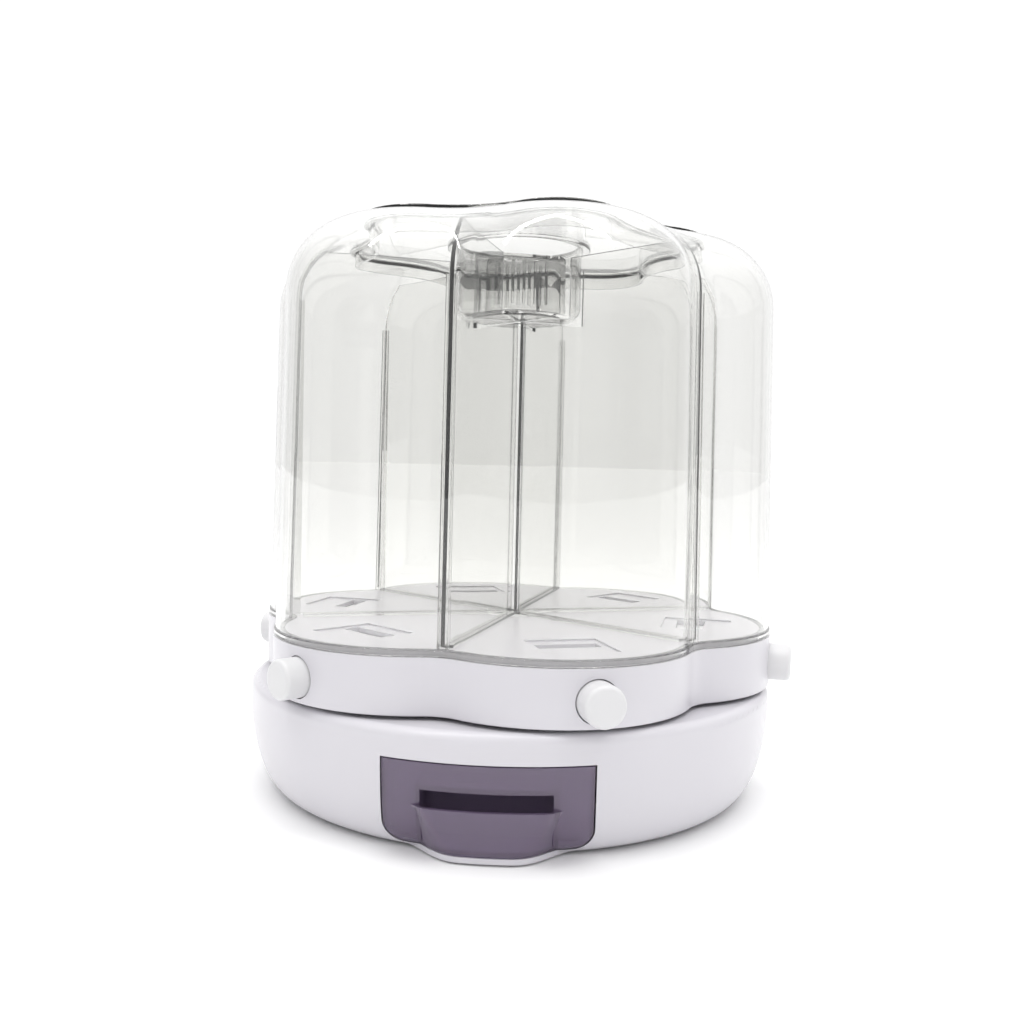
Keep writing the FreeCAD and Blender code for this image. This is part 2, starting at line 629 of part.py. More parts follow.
def carousel_tray():
    """White lobed band and floor, with slots, button bores, spring stops and the hub."""
    band = lobed_prism(0, BAND_Z, LEDGE_Z)
    low_edges = [e for e in band.Edges if e.BoundBox.ZMax < BAND_Z + 0.01]
    band = band.makeFillet(0.8, low_edges)
    raised = lobed_prism(RAISED_INSET, LEDGE_Z, FLOOR_Z)
    cavity = lobed_prism(TRAY_WALL, BAND_Z - 1, LEDGE_Z - TRAY_WALL)
    upper_cavity = lobed_prism(RAISED_INSET + TRAY_WALL, LEDGE_Z - TRAY_WALL, TRAY_FLOOR_UNDER_Z)
    tray = band.fuse(raised).cut(cavity).cut(upper_cavity)
    hub_r = BUSH_R + HUB_WALL
    hub = cylinder(max(hub_r, HUB_RECESS_DIA / 2 + 3.0), UNDERPLATE_TOP_Z, FLOOR_Z - 0.5)
    posts = [box(side * (SHUTTER_WIDTH / 2 + 2.0) - 1.2, side * (SHUTTER_WIDTH / 2 + 2.0) + 1.2,
                 -STOP_R - STOP_WALL, -STOP_R, UNDERPLATE_TOP_Z, TRAY_FLOOR_UNDER_Z + 0.5)
             for side in (-1, 1)]
    bridge = box(-SHUTTER_WIDTH / 2 - 3.0, SHUTTER_WIDTH / 2 + 3.0, -STOP_R - STOP_WALL, -STOP_R,
                 UNDERPLATE_TOP_Z, SHUTTER_Z - SHUTTER_GAP)
    stops = around(fused([bridge] + posts), REST_TURN)
    pillar = cylinder(PILLAR_DIA / 2, UNDERPLATE_TOP_Z, TRAY_FLOOR_UNDER_Z + 0.5, V(0, -pillar_radius(), 0))
    pillars = around(pillar, REST_TURN + STEP / 2)
    hatch = box(-SLOT_WIDTH / 2 - HATCH_MARGIN, SLOT_WIDTH / 2 + HATCH_MARGIN,
                -SHUTTER_OUT_R + 6, -SLOT_R + HATCH_MARGIN + 6,
                FLOOR_Z - HATCH_RECESS - TRAY_WALL, FLOOR_Z - HATCH_RECESS)
    tray = fused([tray, hub] + stops + pillars + around(hatch, REST_TURN))
    tray = tray.cut(cylinder(BUSH_R, BAND_Z, FLOOR_Z + 1))
    tray = tray.cut(cylinder(HUB_RECESS_DIA / 2, HUB_TOP_Z, FLOOR_Z + 1))
    recess_half = SLOT_WIDTH / 2 + HATCH_MARGIN - HATCH_BORDER
    recess = box(-recess_half, recess_half, -SHUTTER_OUT_R + 6 + HATCH_BORDER,
                 -SLOT_R + HATCH_MARGIN + 6 - HATCH_BORDER,
                 FLOOR_Z - HATCH_RECESS, FLOOR_Z + 1)
    slot = box(-SLOT_WIDTH / 2, SLOT_WIDTH / 2, -SLOT_R - SLOT_LENGTH, -SLOT_R,
               TRAY_FLOOR_UNDER_Z - 5, FLOOR_Z + 1)
    bore = button_bore()
    stem_hole = radial_rod(STEM_DIA / 2 + BUTTON_GAP, STOP_R - 3, STOP_R + STOP_WALL + 3, BUTTON_Z)
    screw_hole = cylinder(SCREW_DIA / 2 - PRESS_FIT, UNDERPLATE_TOP_Z - 1,
                          UNDERPLATE_TOP_Z + PILOT_DEPTH, V(0, -pillar_radius(), 0))
    for cutter in (recess, slot, bore, stem_hole):
        for copy in around(cutter, REST_TURN):
            tray = tray.cut(copy)
    for copy in around(screw_hole, REST_TURN + STEP / 2):
        tray = tray.cut(copy)
    return tray


def button_bore():
    """Round clearance for a button through the band and whatever stands behind it."""
    return radial_rod(BUTTON_DIA / 2 + BUTTON_GAP, BUTTON_BACK_R - BUTTON_TRAVEL, BODY_R + 5, BUTTON_Z)


def pillar_radius():
    """Radius of the screw pillars, inside each valley."""
    return LOBE_CENTRE_R + PILLAR_FROM_LOBE_CENTRE


def underplate():
    """Cover under the carousel's mechanism, with a drop hole under each slot."""
    plate = lobed_prism(TRAY_WALL + 0.3, UNDERPLATE_Z, UNDERPLATE_TOP_Z)
    plate = plate.cut(cylinder(BUSH_R + 2.0, UNDERPLATE_Z - 1, UNDERPLATE_TOP_Z + 1))
    hole = box(-SLOT_WIDTH / 2 - 2, SLOT_WIDTH / 2 + 2, -SLOT_R - SLOT_LENGTH - 1, -SLOT_R + 3,
               UNDERPLATE_Z - 1, UNDERPLATE_TOP_Z + 1)
    screw_hole = cylinder(SCREW_DIA / 2 + SCREW_PLAY, UNDERPLATE_Z - 1, UNDERPLATE_TOP_Z + 1,
                          V(0, -pillar_radius(), 0))
    sink = cylinder(SCREW_HEAD_DIA / 2 + SCREW_PLAY, UNDERPLATE_Z - 1, UNDERPLATE_Z + SCREW_SINK,
                    V(0, -pillar_radius(), 0))
    for cutter in (hole, button_bore()):
        for copy in around(cutter, REST_TURN):
            plate = plate.cut(copy)
    for copy in around(screw_hole, REST_TURN + STEP / 2) + around(sink, REST_TURN + STEP / 2):
        plate = plate.cut(copy)
    return plate


def underplate_screws():
    """Screws up into the tray's pillars."""
    z = UNDERPLATE_Z + SCREW_SINK
    angles = [REST_TURN + STEP / 2 + i * STEP for i in range(LOBES)]
    return Part.makeCompound([placed(screw_up(), at(pillar_radius(), a, z)) for a in angles])


def hub_bush():
    """Plain bearing pressed in the hub, running on the spindle."""
    return ring(BUSH_R, SPINDLE_DIA / 2 + SPINDLE_CLEARANCE, UNDERPLATE_TOP_Z, HUB_TOP_Z)


def hub_cap():
    """Push-in cap that closes the hub's recess flush with the floor."""
    cap_r = HUB_RECESS_DIA / 2 - CAP_GAP
    lid = cylinder(cap_r, FLOOR_Z - 3.0, FLOOR_Z)
    skirt = ring(cap_r, cap_r - 1.6, FLOOR_Z - 8.0, FLOOR_Z - 2.5)
    return fused([lid, skirt])


def dome_solid(gap):
    """Solid with the canister's tapered side and round shoulder, a distance inside its skin."""
    top_z = DOME_Z - gap
    height = top_z - FLOOR_Z
    top_inset = CANISTER_INSET + gap + height * math.tan(math.radians(CANISTER_DRAFT))
    low = lobed_wire(CANISTER_INSET + gap, FLOOR_Z)
    high = lobed_wire(top_inset, top_z)
    body = Part.makeLoft([low, high], True, True)
    top = [e for e in body.Edges if e.BoundBox.ZMin > top_z - 0.01]
    return body.makeFillet(SHOULDER_R - gap, top)


def canister():
    """Clear six-lobed shell with its bottom flange, vane guides and lid opening."""
    outer = dome_solid(0)
    inner = dome_solid(CLEAR_WALL)
    shell = outer.cut(inner)
    flange = lobed_ring(FLANGE_INSET, FLANGE_INSET + FLANGE_WIDTH, LEDGE_Z, FLOOR_Z + 0.1)
    valley_r = valley_radius() - CANISTER_INSET - CLEAR_WALL
    guide_top = FLOOR_Z + CANISTER_HEIGHT - SHOULDER_R
    ribs = []
    for side in (-1, 1):
        near = side * (VANE_THICKNESS / 2 + SEAT_GAP)
        far = side * (VANE_THICKNESS / 2 + SEAT_GAP + RIB_THICKNESS)
        rib = box(min(near, far), max(near, far), -valley_r - 1.0, -valley_r + RIB_DEPTH,
                  FLOOR_Z + 0.1, guide_top)
        ribs.append(rib)
    guides = []
    for rib in ribs:
        for copy in around(rib, REST_TURN + STEP / 2):
            guides.append(copy.common(outer))
    shell = fused([shell, flange] + guides)
    opening = lobed_prism(OPENING_INSET, DOME_Z - SHOULDER_R, DOME_Z + 1)
    inside = lobed_prism(RAISED_INSET - SEAT_GAP, LEDGE_Z - 1, FLOOR_Z + 0.1)
    return shell.cut(opening).cut(inside)


def valley_radius():
    """Distance from the axis to the bottom of a valley of the band."""
    return (LOBE_CENTRE_R * math.cos(math.pi / LOBES)
            + math.sqrt((LOBE_R + VALLEY_R) ** 2
                        - (LOBE_CENTRE_R * math.sin(math.pi / LOBES)) ** 2) - VALLEY_R)


def partition():
    """Clear six-vane divider with its core, feet and the notch under the lid's cup."""
    floor = FLOOR_Z + 0.1
    vane = box(-VANE_THICKNESS / 2, VANE_THICKNESS / 2, -BODY_R, 0, floor, VANE_TOP_Z)
    vane = vane.common(turned(dome_solid(CLEAR_WALL + VANE_GAP), -REST_TURN - STEP / 2))
    foot_end = valley_radius() - CANISTER_INSET - CLEAR_WALL - RIB_DEPTH - VANE_GAP - 1.0
    foot = box(-VANE_FOOT_WIDTH / 2, VANE_FOOT_WIDTH / 2, -foot_end, 0,
               floor, floor + VANE_FOOT_HEIGHT)
    core = cylinder(CORE_DIA / 2, floor, NOTCH_Z)
    notch = cylinder(NOTCH_R, NOTCH_Z, VANE_TOP_Z + 1)
    vanes = around(fused([vane, foot]), REST_TURN + STEP / 2)
    return fused(vanes + [core]).cut(notch)


# ---- Buttons -------------------------------------------------------------

def button():
    """Push button with its stem, built on the -Y side."""
    cap = radial_rod(BUTTON_DIA / 2, BUTTON_BACK_R, BUTTON_TIP_R, BUTTON_Z)
    rim = [e for e in cap.Edges if e.BoundBox.YMax < -BUTTON_TIP_R + 0.01 and e.Closed]
    cap = cap.makeFillet(BUTTON_EDGE_R, rim)
    hollow = radial_rod(BUTTON_DIA / 2 - BUTTON_WALL, BUTTON_BACK_R,
                        BUTTON_TIP_R - 2 * BUTTON_WALL, BUTTON_Z)
    web = radial_rod(STEM_DIA / 2, BUTTON_BACK_R - STEM_LENGTH, BUTTON_TIP_R - BUTTON_WALL, BUTTON_Z)
    back = radial_rod(BUTTON_DIA / 2, BUTTON_BACK_R, BUTTON_BACK_R + BUTTON_WALL, BUTTON_Z)
    ears = box(-BUTTON_DIA / 2 - 3.5, BUTTON_DIA / 2 + 3.5, -BUTTON_BACK_R - BUTTON_WALL,
               -BUTTON_BACK_R, BUTTON_Z - 8.0, BUTTON_Z + 8.0)
    return fused([cap.cut(hollow), web, back, ears])


def shutter():
    """Sliding plate under the floor, with a slot that lines up when the button is pressed."""
    plate = box(-SHUTTER_WIDTH / 2, SHUTTER_WIDTH / 2, -SHUTTER_OUT_R, -SHUTTER_IN_R,
                SHUTTER_Z, SHUTTER_TOP_Z)
    slot = box(-SLOT_WIDTH / 2, SLOT_WIDTH / 2, -SLOT_R - SLOT_LENGTH - BUTTON_TRAVEL,
               -SLOT_R - BUTTON_TRAVEL, SHUTTER_Z - 1, SHUTTER_TOP_Z + 1)
    tab = box(-7.0, 7.0, -BUTTON_BACK_R, -BUTTON_BACK_R + 2.4, BUTTON_Z + 6.0, SHUTTER_Z + 0.5)
    return fused([plate.cut(slot), tab])


def button_spring():
    """Coil spring between the stop wall and the back of the button."""
    start = STOP_R + STOP_WALL + 0.05
    end = BUTTON_BACK_R - 0.05
    length = end - start - SPRING_WIRE
    radius = SPRING_OD / 2 - SPRING_WIRE / 2
    helix = Part.makeHelix(length / SPRING_TURNS, length, radius)
    corners = [math.radians(22.5 + 45 * i) for i in range(9)]
    profile = Part.makePolygon([V(radius + SPRING_WIRE / 2 * math.cos(a), 0,
                                  SPRING_WIRE / 2 * math.sin(a)) for a in corners])
    coil = Part.Wire(helix.Edges).makePipeShell([profile], True, True)
    coil.rotate(V(0, 0, 0), V(1, 0, 0), 90)
    coil.translate(V(0, -start - SPRING_WIRE / 2, BUTTON_Z))
    return coil


# ---- Lid -----------------------------------------------------------------

def lid_panel():
    """Clear six-lobed lid plate with a skirt that drops in the opening."""
    plate = lobed_prism(OPENING_INSET - LID_OVERLAP, LID_Z, LID_TOP_Z)
    upper = [e for e in plate.Edges if e.BoundBox.ZMin > LID_TOP_Z - 0.01]
    plate = plate.makeFillet(0.8, upper)
    skirt = lobed_ring(OPENING_INSET + 0.5, OPENING_INSET + 0.5 + CLEAR_WALL, SKIRT_Z, LID_Z + 0.5)
    hole = cylinder(CUP_R + 0.1, LID_Z - 1, LID_TOP_Z + 1)
    return fused([plate, skirt]).cut(hole)


def lid_seal():
    """Flat silicone ring between the lid plate and the canister."""
    inset = OPENING_INSET - OPENING_LAND + 0.7
    return lobed_ring(inset, inset + SEAL_WIDTH, SEAL_Z, LID_Z)


def lid_cup():
    """Recessed grip cup, bonded under the lid plate."""
    outer = cylinder(CUP_R, CUP_Z, LID_TOP_Z)
    low = [e for e in outer.Edges if e.BoundBox.ZMax < CUP_Z + 0.01 and e.Closed]
    outer = outer.makeFillet(CUP_CORNER_R, low)
    inner = cylinder(CUP_R - CLEAR_WALL, CUP_Z + CLEAR_WALL, LID_TOP_Z + 1)
    low = [e for e in inner.Edges if e.BoundBox.ZMax < CUP_Z + CLEAR_WALL + 0.01 and e.Closed]
    inner = inner.makeFillet(CUP_CORNER_R - CLEAR_WALL, low)
    flange = cylinder(CUP_R + CUP_FLANGE, LID_Z - 2.0, LID_Z)
    return fused([outer, flange]).cut(inner)


def lid_grip():
    """Hollow grip bar across the cup, with upright finger ribs on both faces."""
    low = CUP_Z + CLEAR_WALL
    high = LID_TOP_Z - GRIP_BELOW_TOP
    reach = CUP_R - CUP_CORNER_R - 0.2
    bar = box(-reach, reach, -GRIP_WIDTH / 2, GRIP_WIDTH / 2, low, high)
    upright = [e for e in bar.Edges if e.BoundBox.ZLength > 1.0]
    bar = bar.makeFillet(GRIP_WIDTH / 2 - 1.0, upright)
    rim = [e for e in bar.Edges if e.BoundBox.ZMin > high - 0.01]
    bar = bar.makeFillet(2.0, rim)
    hollow = box(-reach + CLEAR_WALL, reach - CLEAR_WALL, -GRIP_WIDTH / 2 + CLEAR_WALL,
                 GRIP_WIDTH / 2 - CLEAR_WALL, low - 1, high - CLEAR_WALL)
    upright = [e for e in hollow.Edges if e.BoundBox.ZLength > 1.0]
    hollow = hollow.makeFillet(GRIP_WIDTH / 2 - CLEAR_WALL - 1.0, upright)
    bar = bar.cut(hollow)
    ribs = []
    spacing = 7.0
    for i in range(GRIP_RIBS):
        x = (i - (GRIP_RIBS - 1) / 2) * spacing
        ribs.append(box(x - 0.8, x + 0.8, -GRIP_WIDTH / 2 - 1.4, -GRIP_WIDTH / 2 + 0.4,
                        low + CUP_CORNER_R - 2, high - 5))
        ribs.append(box(x - 0.8, x + 0.8, GRIP_WIDTH / 2 - 0.4, GRIP_WIDTH / 2 + 1.4,
                        low + CUP_CORNER_R - 2, high - 5))
    return turned(fused([bar] + ribs), REST_TURN)


# ---- Build ---------------------------------------------------------------

def main():
    """Write every node."""
    os.makedirs("parts", exist_ok=True)
    save("base_shell", base_shell())
    save("base_plate", base_plate())
    save("rubber_feet", rubber_feet())
    save("base_plate_screws", base_plate_screws())
    save("turntable_deck", deck())
    save("deck_screws", deck_screws())
    save("glide_pads", glide_pads())
    save("spindle", spindle())
    save("spindle_washer", spindle_washer())
    save("spindle_screw", spindle_screw())
    save("drawer_runner_left", drawer_runner(-1))
    save("drawer_runner_right", drawer_runner(1))
    save("runner_screws", runner_screws())
    save("drawer_front", drawer_front())
    save("drawer_tray", drawer_tray())
    save("carousel_tray", carousel_tray())
    save("carousel_underplate", underplate())
    save("underplate_screws", underplate_screws())
    save("hub_bush", hub_bush())
    save("hub_cap", hub_cap())
    save("canister", canister())
    save("partition", partition())
    for number, angle in enumerate([REST_TURN + i * STEP for i in range(LOBES)], start=1):
        save("button_%d" % number, turned(button(), angle))
        save("shutter_%d" % number, turned(shutter(), angle))
        save("button_spring_%d" % number, turned(button_spring(), angle))
    save("lid_panel", lid_panel())
    save("lid_seal", lid_seal())
    save("lid_cup", lid_cup())
    save("lid_grip", lid_grip())


main()
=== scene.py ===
"""Looks of a rotating six-compartment dry-food dispenser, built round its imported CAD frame.

Sizes in the dataclasses are in millimetres. Meshes are made in metres in the frame of the CAD:
+Z up along the spindle, the drawer towards -Y. Directions round the axis are measured from -Y
towards +X, in degrees.
"""

import logging
import math
from dataclasses import dataclass
from enum import Enum
from typing import Any, Sequence

import bmesh
import bpy
from mathutils import Matrix, Vector


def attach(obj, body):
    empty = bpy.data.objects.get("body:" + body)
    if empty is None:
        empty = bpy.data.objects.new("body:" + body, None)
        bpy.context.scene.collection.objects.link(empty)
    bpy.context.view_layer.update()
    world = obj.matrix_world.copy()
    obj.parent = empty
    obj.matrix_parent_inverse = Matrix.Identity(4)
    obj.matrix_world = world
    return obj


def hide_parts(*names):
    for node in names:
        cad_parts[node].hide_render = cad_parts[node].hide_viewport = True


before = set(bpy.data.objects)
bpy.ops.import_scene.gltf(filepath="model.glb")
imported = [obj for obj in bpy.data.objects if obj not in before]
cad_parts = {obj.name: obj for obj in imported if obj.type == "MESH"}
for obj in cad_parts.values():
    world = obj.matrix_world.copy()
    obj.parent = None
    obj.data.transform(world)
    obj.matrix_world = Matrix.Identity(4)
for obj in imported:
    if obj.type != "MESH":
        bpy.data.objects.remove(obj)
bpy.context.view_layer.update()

MM = 0.001
MERGE_MM = 0.002
SHARP_DEGREES = 38.0
WIDE_ARC_MM = 5.0
WIDE_ARC_STEP = 6.0
SMALL_ARC_STEP = 22.5
TOUCH_GAP = 0.02
LOG = logging.getLogger("dispenser")

Point = tuple[float, float]
Corner = tuple[float, float, float]


class Body(str, Enum):
    """Bodies of the frame that pieces ride on."""

    BASE = "base"
    CAROUSEL = "carousel"
    LID = "lid"


class Weave(Enum):
    """How a metal surface was finished, which sets the direction of its marks."""

    PLATED = "plated"
    TURNED = "turned"
    DRAWN = "drawn"


def linear(code: str) -> tuple[float, float, float, float]:
    """Turn an sRGB hex colour into linear RGBA.

    Args:
        code: A colour such as "#e4e2e7".

    Returns:
        Red, green, blue and alpha, linear, from 0 to 1.
    """
    parts = [int(code[i:i + 2], 16) / 255 for i in (1, 3, 5)]
    flat = [v / 12.92 if v <= 0.04045 else ((v + 0.055) / 1.055) ** 2.4 for v in parts]
    return flat[0], flat[1], flat[2], 1.0


def add_node(tree: bpy.types.NodeTree, kind: str, settings: dict[str, Any] | None = None,
             inputs: dict[Any, Any] | None = None) -> bpy.types.Node:
    """Add one node to a tree with its settings, constants and links.

    Args:
        tree: The node tree that takes the node.
        kind: Blender's type name of the node.
        settings: Attributes to set on the node.
        inputs: Values of its input sockets by name or place; an output socket is linked.

    Returns:
        The new node.
    """
    node = tree.nodes.new(kind)
    for key, value in (settings or {}).items():
        setattr(node, key, value)
    for key, value in (inputs or {}).items():
        if isinstance(value, bpy.types.NodeSocket):
            tree.links.new(value, node.inputs[key])
        else:
            node.inputs[key].default_value = value
    return node


# ---- Finishes ----------------------------------------------------------------


@dataclass(frozen=True)
class Finish:
    """What every finish shares: its name and the start of its node tree."""

    name: str

    def start(self) -> tuple[bpy.types.Material, bpy.types.NodeTree, bpy.types.NodeSocket]:
        """Make an empty material and the coordinates that its patterns read.

        Returns:
            The material, its tree and the Object coordinates, in metres.
        """
        material = bpy.data.materials.new(self.name)
        material.use_nodes = True
        tree = material.node_tree
        tree.nodes.clear()
        where = add_node(tree, "ShaderNodeTexCoord").outputs["Object"]
        return material, tree, where

    def close(self, tree: bpy.types.NodeTree, surface: bpy.types.NodeSocket,
              depth: bpy.types.NodeSocket | None = None) -> None:
        """Join the finished surface, and the depth behind it if any, to the material's output."""
        ends = {"Surface": surface} if depth is None else {"Surface": surface, "Volume": depth}
        add_node(tree, "ShaderNodeOutputMaterial", inputs=ends)


@dataclass(frozen=True)
class MouldedPlastic(Finish):
    """Opaque moulded thermoplastic. The eye sees a broad clean highlight with a trace of flow in it."""

    colour: str = "#d6d4d9"
    shade: str = "#d2d0d6"
    rough_low: float = 0.24
    rough_high: float = 0.27
    ior: float = 1.53
    flow_mm: float = 70.0
    skin_mm: float = 1.6
    skin_height_mm: float = 0.003
    scatter: float = 0.0
    scatter_mm: float = 1.2

    def build(self) -> bpy.types.Material:
        """Build the material.

        Returns:
            The material.
        """
        material, tree, where = self.start()
        flow = add_node(tree, "ShaderNodeTexNoise", {"noise_dimensions": "3D"},
                        {"Vector": where, "Scale": 1 / (self.flow_mm * MM), "Detail": 2.0,
                         "Roughness": 0.45})
        tint = add_node(tree, "ShaderNodeMix", {"data_type": "RGBA"},
                        {0: flow.outputs["Fac"], 6: linear(self.colour), 7: linear(self.shade)})
        skin = add_node(tree, "ShaderNodeTexNoise", {"noise_dimensions": "3D"},
                        {"Vector": where, "Scale": 1 / (self.skin_mm * MM), "Detail": 1.0})
        gloss = add_node(tree, "ShaderNodeMapRange", None,
                         {"Value": flow.outputs["Fac"], "From Min": 0.3, "From Max": 0.7,
                          "To Min": self.rough_low, "To Max": self.rough_high})
        bump = add_node(tree, "ShaderNodeBump", None,
                        {"Height": skin.outputs["Fac"], "Strength": 0.35,
                         "Distance": self.skin_height_mm * MM})
        shader = add_node(tree, "ShaderNodeBsdfPrincipled", None,
                          {"Base Color": tint.outputs[2], "Roughness": gloss.outputs["Result"],
                           "IOR": self.ior, "Normal": bump.outputs["Normal"],
                           "Subsurface Weight": self.scatter, "Subsurface Scale": self.scatter_mm * MM})
        self.close(tree, shader.outputs["BSDF"])
        return material


@dataclass(frozen=True)
class ClearPlastic(Finish):
    """Clear or tinted moulded plastic that lets the lamps through, so what stands behind it stays lit."""

    tint: str = "#fcfcfb"
    lamp_tint: str = "#fbfbfa"
    ior: float = 1.57
    body: str = "#ffffff"
    body_share: float = 0.0
    depth_colour: str = "#bcbcba"
    depth_density: float = 17.0
    roughness: float = 0.0
    wave_mm: float = 34.0
    wave_height_mm: float = 0.03

    def build(self) -> bpy.types.Material:
        """Build the material.

        Returns:
            The material.
        """
        material, tree, where = self.start()
        wave = add_node(tree, "ShaderNodeTexNoise", {"noise_dimensions": "3D"},
                        {"Vector": where, "Scale": 1 / (self.wave_mm * MM), "Detail": 1.0,
                         "Roughness": 0.4})
        bump = add_node(tree, "ShaderNodeBump", None,
                        {"Height": wave.outputs["Fac"], "Strength": 0.5,
                         "Distance": self.wave_height_mm * MM})
        glass = add_node(tree, "ShaderNodeBsdfPrincipled", None,
                         {"Base Color": linear(self.tint), "Roughness": self.roughness, "IOR": self.ior,
                          "Transmission Weight": 1.0, "Normal": bump.outputs["Normal"]})
        pigment = add_node(tree, "ShaderNodeBsdfPrincipled", None,
                           {"Base Color": linear(self.body), "Roughness": 0.08, "IOR": self.ior,
                            "Normal": bump.outputs["Normal"]})
        filled = add_node(tree, "ShaderNodeMixShader", None,
                          {0: self.body_share, 1: glass.outputs["BSDF"], 2: pigment.outputs["BSDF"]})
        lamps = add_node(tree, "ShaderNodeBsdfTransparent", None, {"Color": linear(self.lamp_tint)})
        path = add_node(tree, "ShaderNodeLightPath")
        either = add_node(tree, "ShaderNodeMixShader", None,
                          {0: path.outputs["Is Shadow Ray"], 1: filled.outputs["Shader"],
                           2: lamps.outputs["BSDF"]})
        depth = add_node(tree, "ShaderNodeVolumeAbsorption", None,
                         {"Color": linear(self.depth_colour), "Density": self.depth_density})
        self.close(tree, either.outputs["Shader"], depth.outputs["Volume"])
        return material


@dataclass(frozen=True)
class SoftRubber(Finish):
    """Moulded elastomer. The eye sees a dry, even surface with a faint dusty grain."""

    colour: str = "#8c8c90"
    dust: str = "#a2a2a6"
    roughness: float = 0.72
    ior: float = 1.52
    grain_mm: float = 0.5

    def build(self) -> bpy.types.Material:
        """Build the material.

        Returns:
            The material.
        """
        material, tree, where = self.start()
        grain = add_node(tree, "ShaderNodeTexNoise", {"noise_dimensions": "3D"},
                         {"Vector": where, "Scale": 1 / (self.grain_mm * MM), "Detail": 3.0})
        dust = add_node(tree, "ShaderNodeMix", {"data_type": "RGBA"},
                        {0: grain.outputs["Fac"], 6: linear(self.colour), 7: linear(self.dust)})
        bump = add_node(tree, "ShaderNodeBump", None,
                        {"Height": grain.outputs["Fac"], "Strength": 0.4, "Distance": 0.04 * MM})
        shader = add_node(tree, "ShaderNodeBsdfPrincipled", None,
                          {"Base Color": dust.outputs[2], "Roughness": self.roughness, "IOR": self.ior,
                           "Normal": bump.outputs["Normal"]})
        self.close(tree, shader.outputs["BSDF"])
        return material


@dataclass(frozen=True)
class Metal(Finish):
    """Bare or plated metal with the marks of how it was made."""

    colour: str = "#b9bbbf"
    shade: str = "#8f9196"
    roughness: float = 0.3
    marks: Weave = Weave.PLATED
    pitch_mm: float = 0.6

    def build(self) -> bpy.types.Material:
        """Build the material.

        Returns:
            The material.
        """
        material, tree, where = self.start()
        stretch = {Weave.PLATED: (1.0, 1.0, 1.0), Weave.TURNED: (0.15, 0.15, 1.0),
                   Weave.DRAWN: (1.0, 0.2, 1.0)}[self.marks]
        along = add_node(tree, "ShaderNodeMapping", None, {"Vector": where, "Scale": stretch})
        marks = add_node(tree, "ShaderNodeTexNoise", {"noise_dimensions": "3D"},
                         {"Vector": along.outputs["Vector"], "Scale": 1 / (self.pitch_mm * MM),
                          "Detail": 4.0})
        tone = add_node(tree, "ShaderNodeMix", {"data_type": "RGBA"},
                        {0: marks.outputs["Fac"], 6: linear(self.colour), 7: linear(self.shade)})
        gloss = add_node(tree, "ShaderNodeMapRange", None,
                         {"Value": marks.outputs["Fac"], "To Min": self.roughness * 0.7,
                          "To Max": self.roughness * 1.4})
        bump = add_node(tree, "ShaderNodeBump", None,
                        {"Height": marks.outputs["Fac"], "Strength": 0.3, "Distance": 0.01 * MM})
        shader = add_node(tree, "ShaderNodeBsdfPrincipled", None,
                          {"Base Color": tone.outputs[2], "Metallic": 1.0,
                           "Roughness": gloss.outputs["Result"], "Normal": bump.outputs["Normal"]})
        self.close(tree, shader.outputs["BSDF"])
        return material


class Finishes:
    """Every finish on the dispenser, each built once."""

    def __init__(self) -> None:
        """Build the materials."""
        # Gloss ABS moulded in a polished tool: one broad clean highlight and a faint lavender cast.
        self.gloss_abs = MouldedPlastic("gloss_moulded_abs").build()
        # The same ABS from a satin tool: the highlight on each button is softer.
        self.button_abs = MouldedPlastic("satin_moulded_abs", colour="#dedddf", shade="#dadadb",
                                         rough_low=0.34, rough_high=0.42).build()
        # Unpolished ABS for hidden parts: dull, with a visible skin.
        self.inner_abs = MouldedPlastic("plain_moulded_abs", colour="#e4e4e6", shade="#dcdcdf",
                                        rough_low=0.45, rough_high=0.6, skin_height_mm=0.02).build()
        # Clear styrene: dark lines where the eye looks along a wall, and slow waves in its reflections.
        self.clear_styrene = ClearPlastic("clear_moulded_styrene").build()
        # Violet-dyed styrene: partly filled, so that it glows instead of going black.
        self.smoke_styrene = ClearPlastic("smoke_violet_styrene", tint="#c2b6cd", lamp_tint="#a598b2",
                                          body="#93829f", body_share=0.34, roughness=0.03,
                                          wave_mm=22.0).build()
        # Moulded rubber: dry and even, with a dusty grain.
        self.foot_rubber = SoftRubber("moulded_foot_rubber").build()
        # Silicone strip: pale and a little slick.
        self.silicone = SoftRubber("translucent_silicone", colour="#dfdfdf", dust="#ebebeb",
                                   roughness=0.5, ior=1.43).build()
        # Undyed nylon: a warm cream that light enters slightly.
        self.nylon = MouldedPlastic("natural_cast_nylon", colour="#d9d5c6", shade="#cfcab9",
                                    rough_low=0.4, rough_high=0.5, scatter=0.2).build()
        # Zinc plate on screws: cool and finely mottled.
        self.zinc = Metal("zinc_plated_steel").build()
        # Bright turned steel: rings from the lathe.
        self.turned_steel = Metal("turned_bright_steel", colour="#c3c4c6", shade="#a3a4a7",
                                  roughness=0.22, marks=Weave.TURNED).build()
        # Spring wire: long marks from the drawing die.
        self.spring_wire = Metal("drawn_spring_wire", colour="#a5a6a9", shade="#808184",
                                 roughness=0.28, marks=Weave.DRAWN, pitch_mm=0.3).build()
        # Sintered bronze: warm, dull and open-grained.
        self.bronze = Metal("sintered_bronze", colour="#b08a55", shade="#8d6c3f",
                            roughness=0.5, pitch_mm=0.35).build()


# ---- Frame pieces that stay ----------------------------------------------------


def dress(node: str, material: bpy.types.Material) -> None:
    """Give a CAD node its material.

    Args:
        node: The node's name.
        material: The material for all its faces.
    """
    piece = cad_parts[node]
    piece.data.materials.clear()
    piece.data.materials.append(material)
    LOG.info("%s keeps its CAD shape and takes %s", node, material.name)


# ---- Mesh making ---------------------------------------------------------------


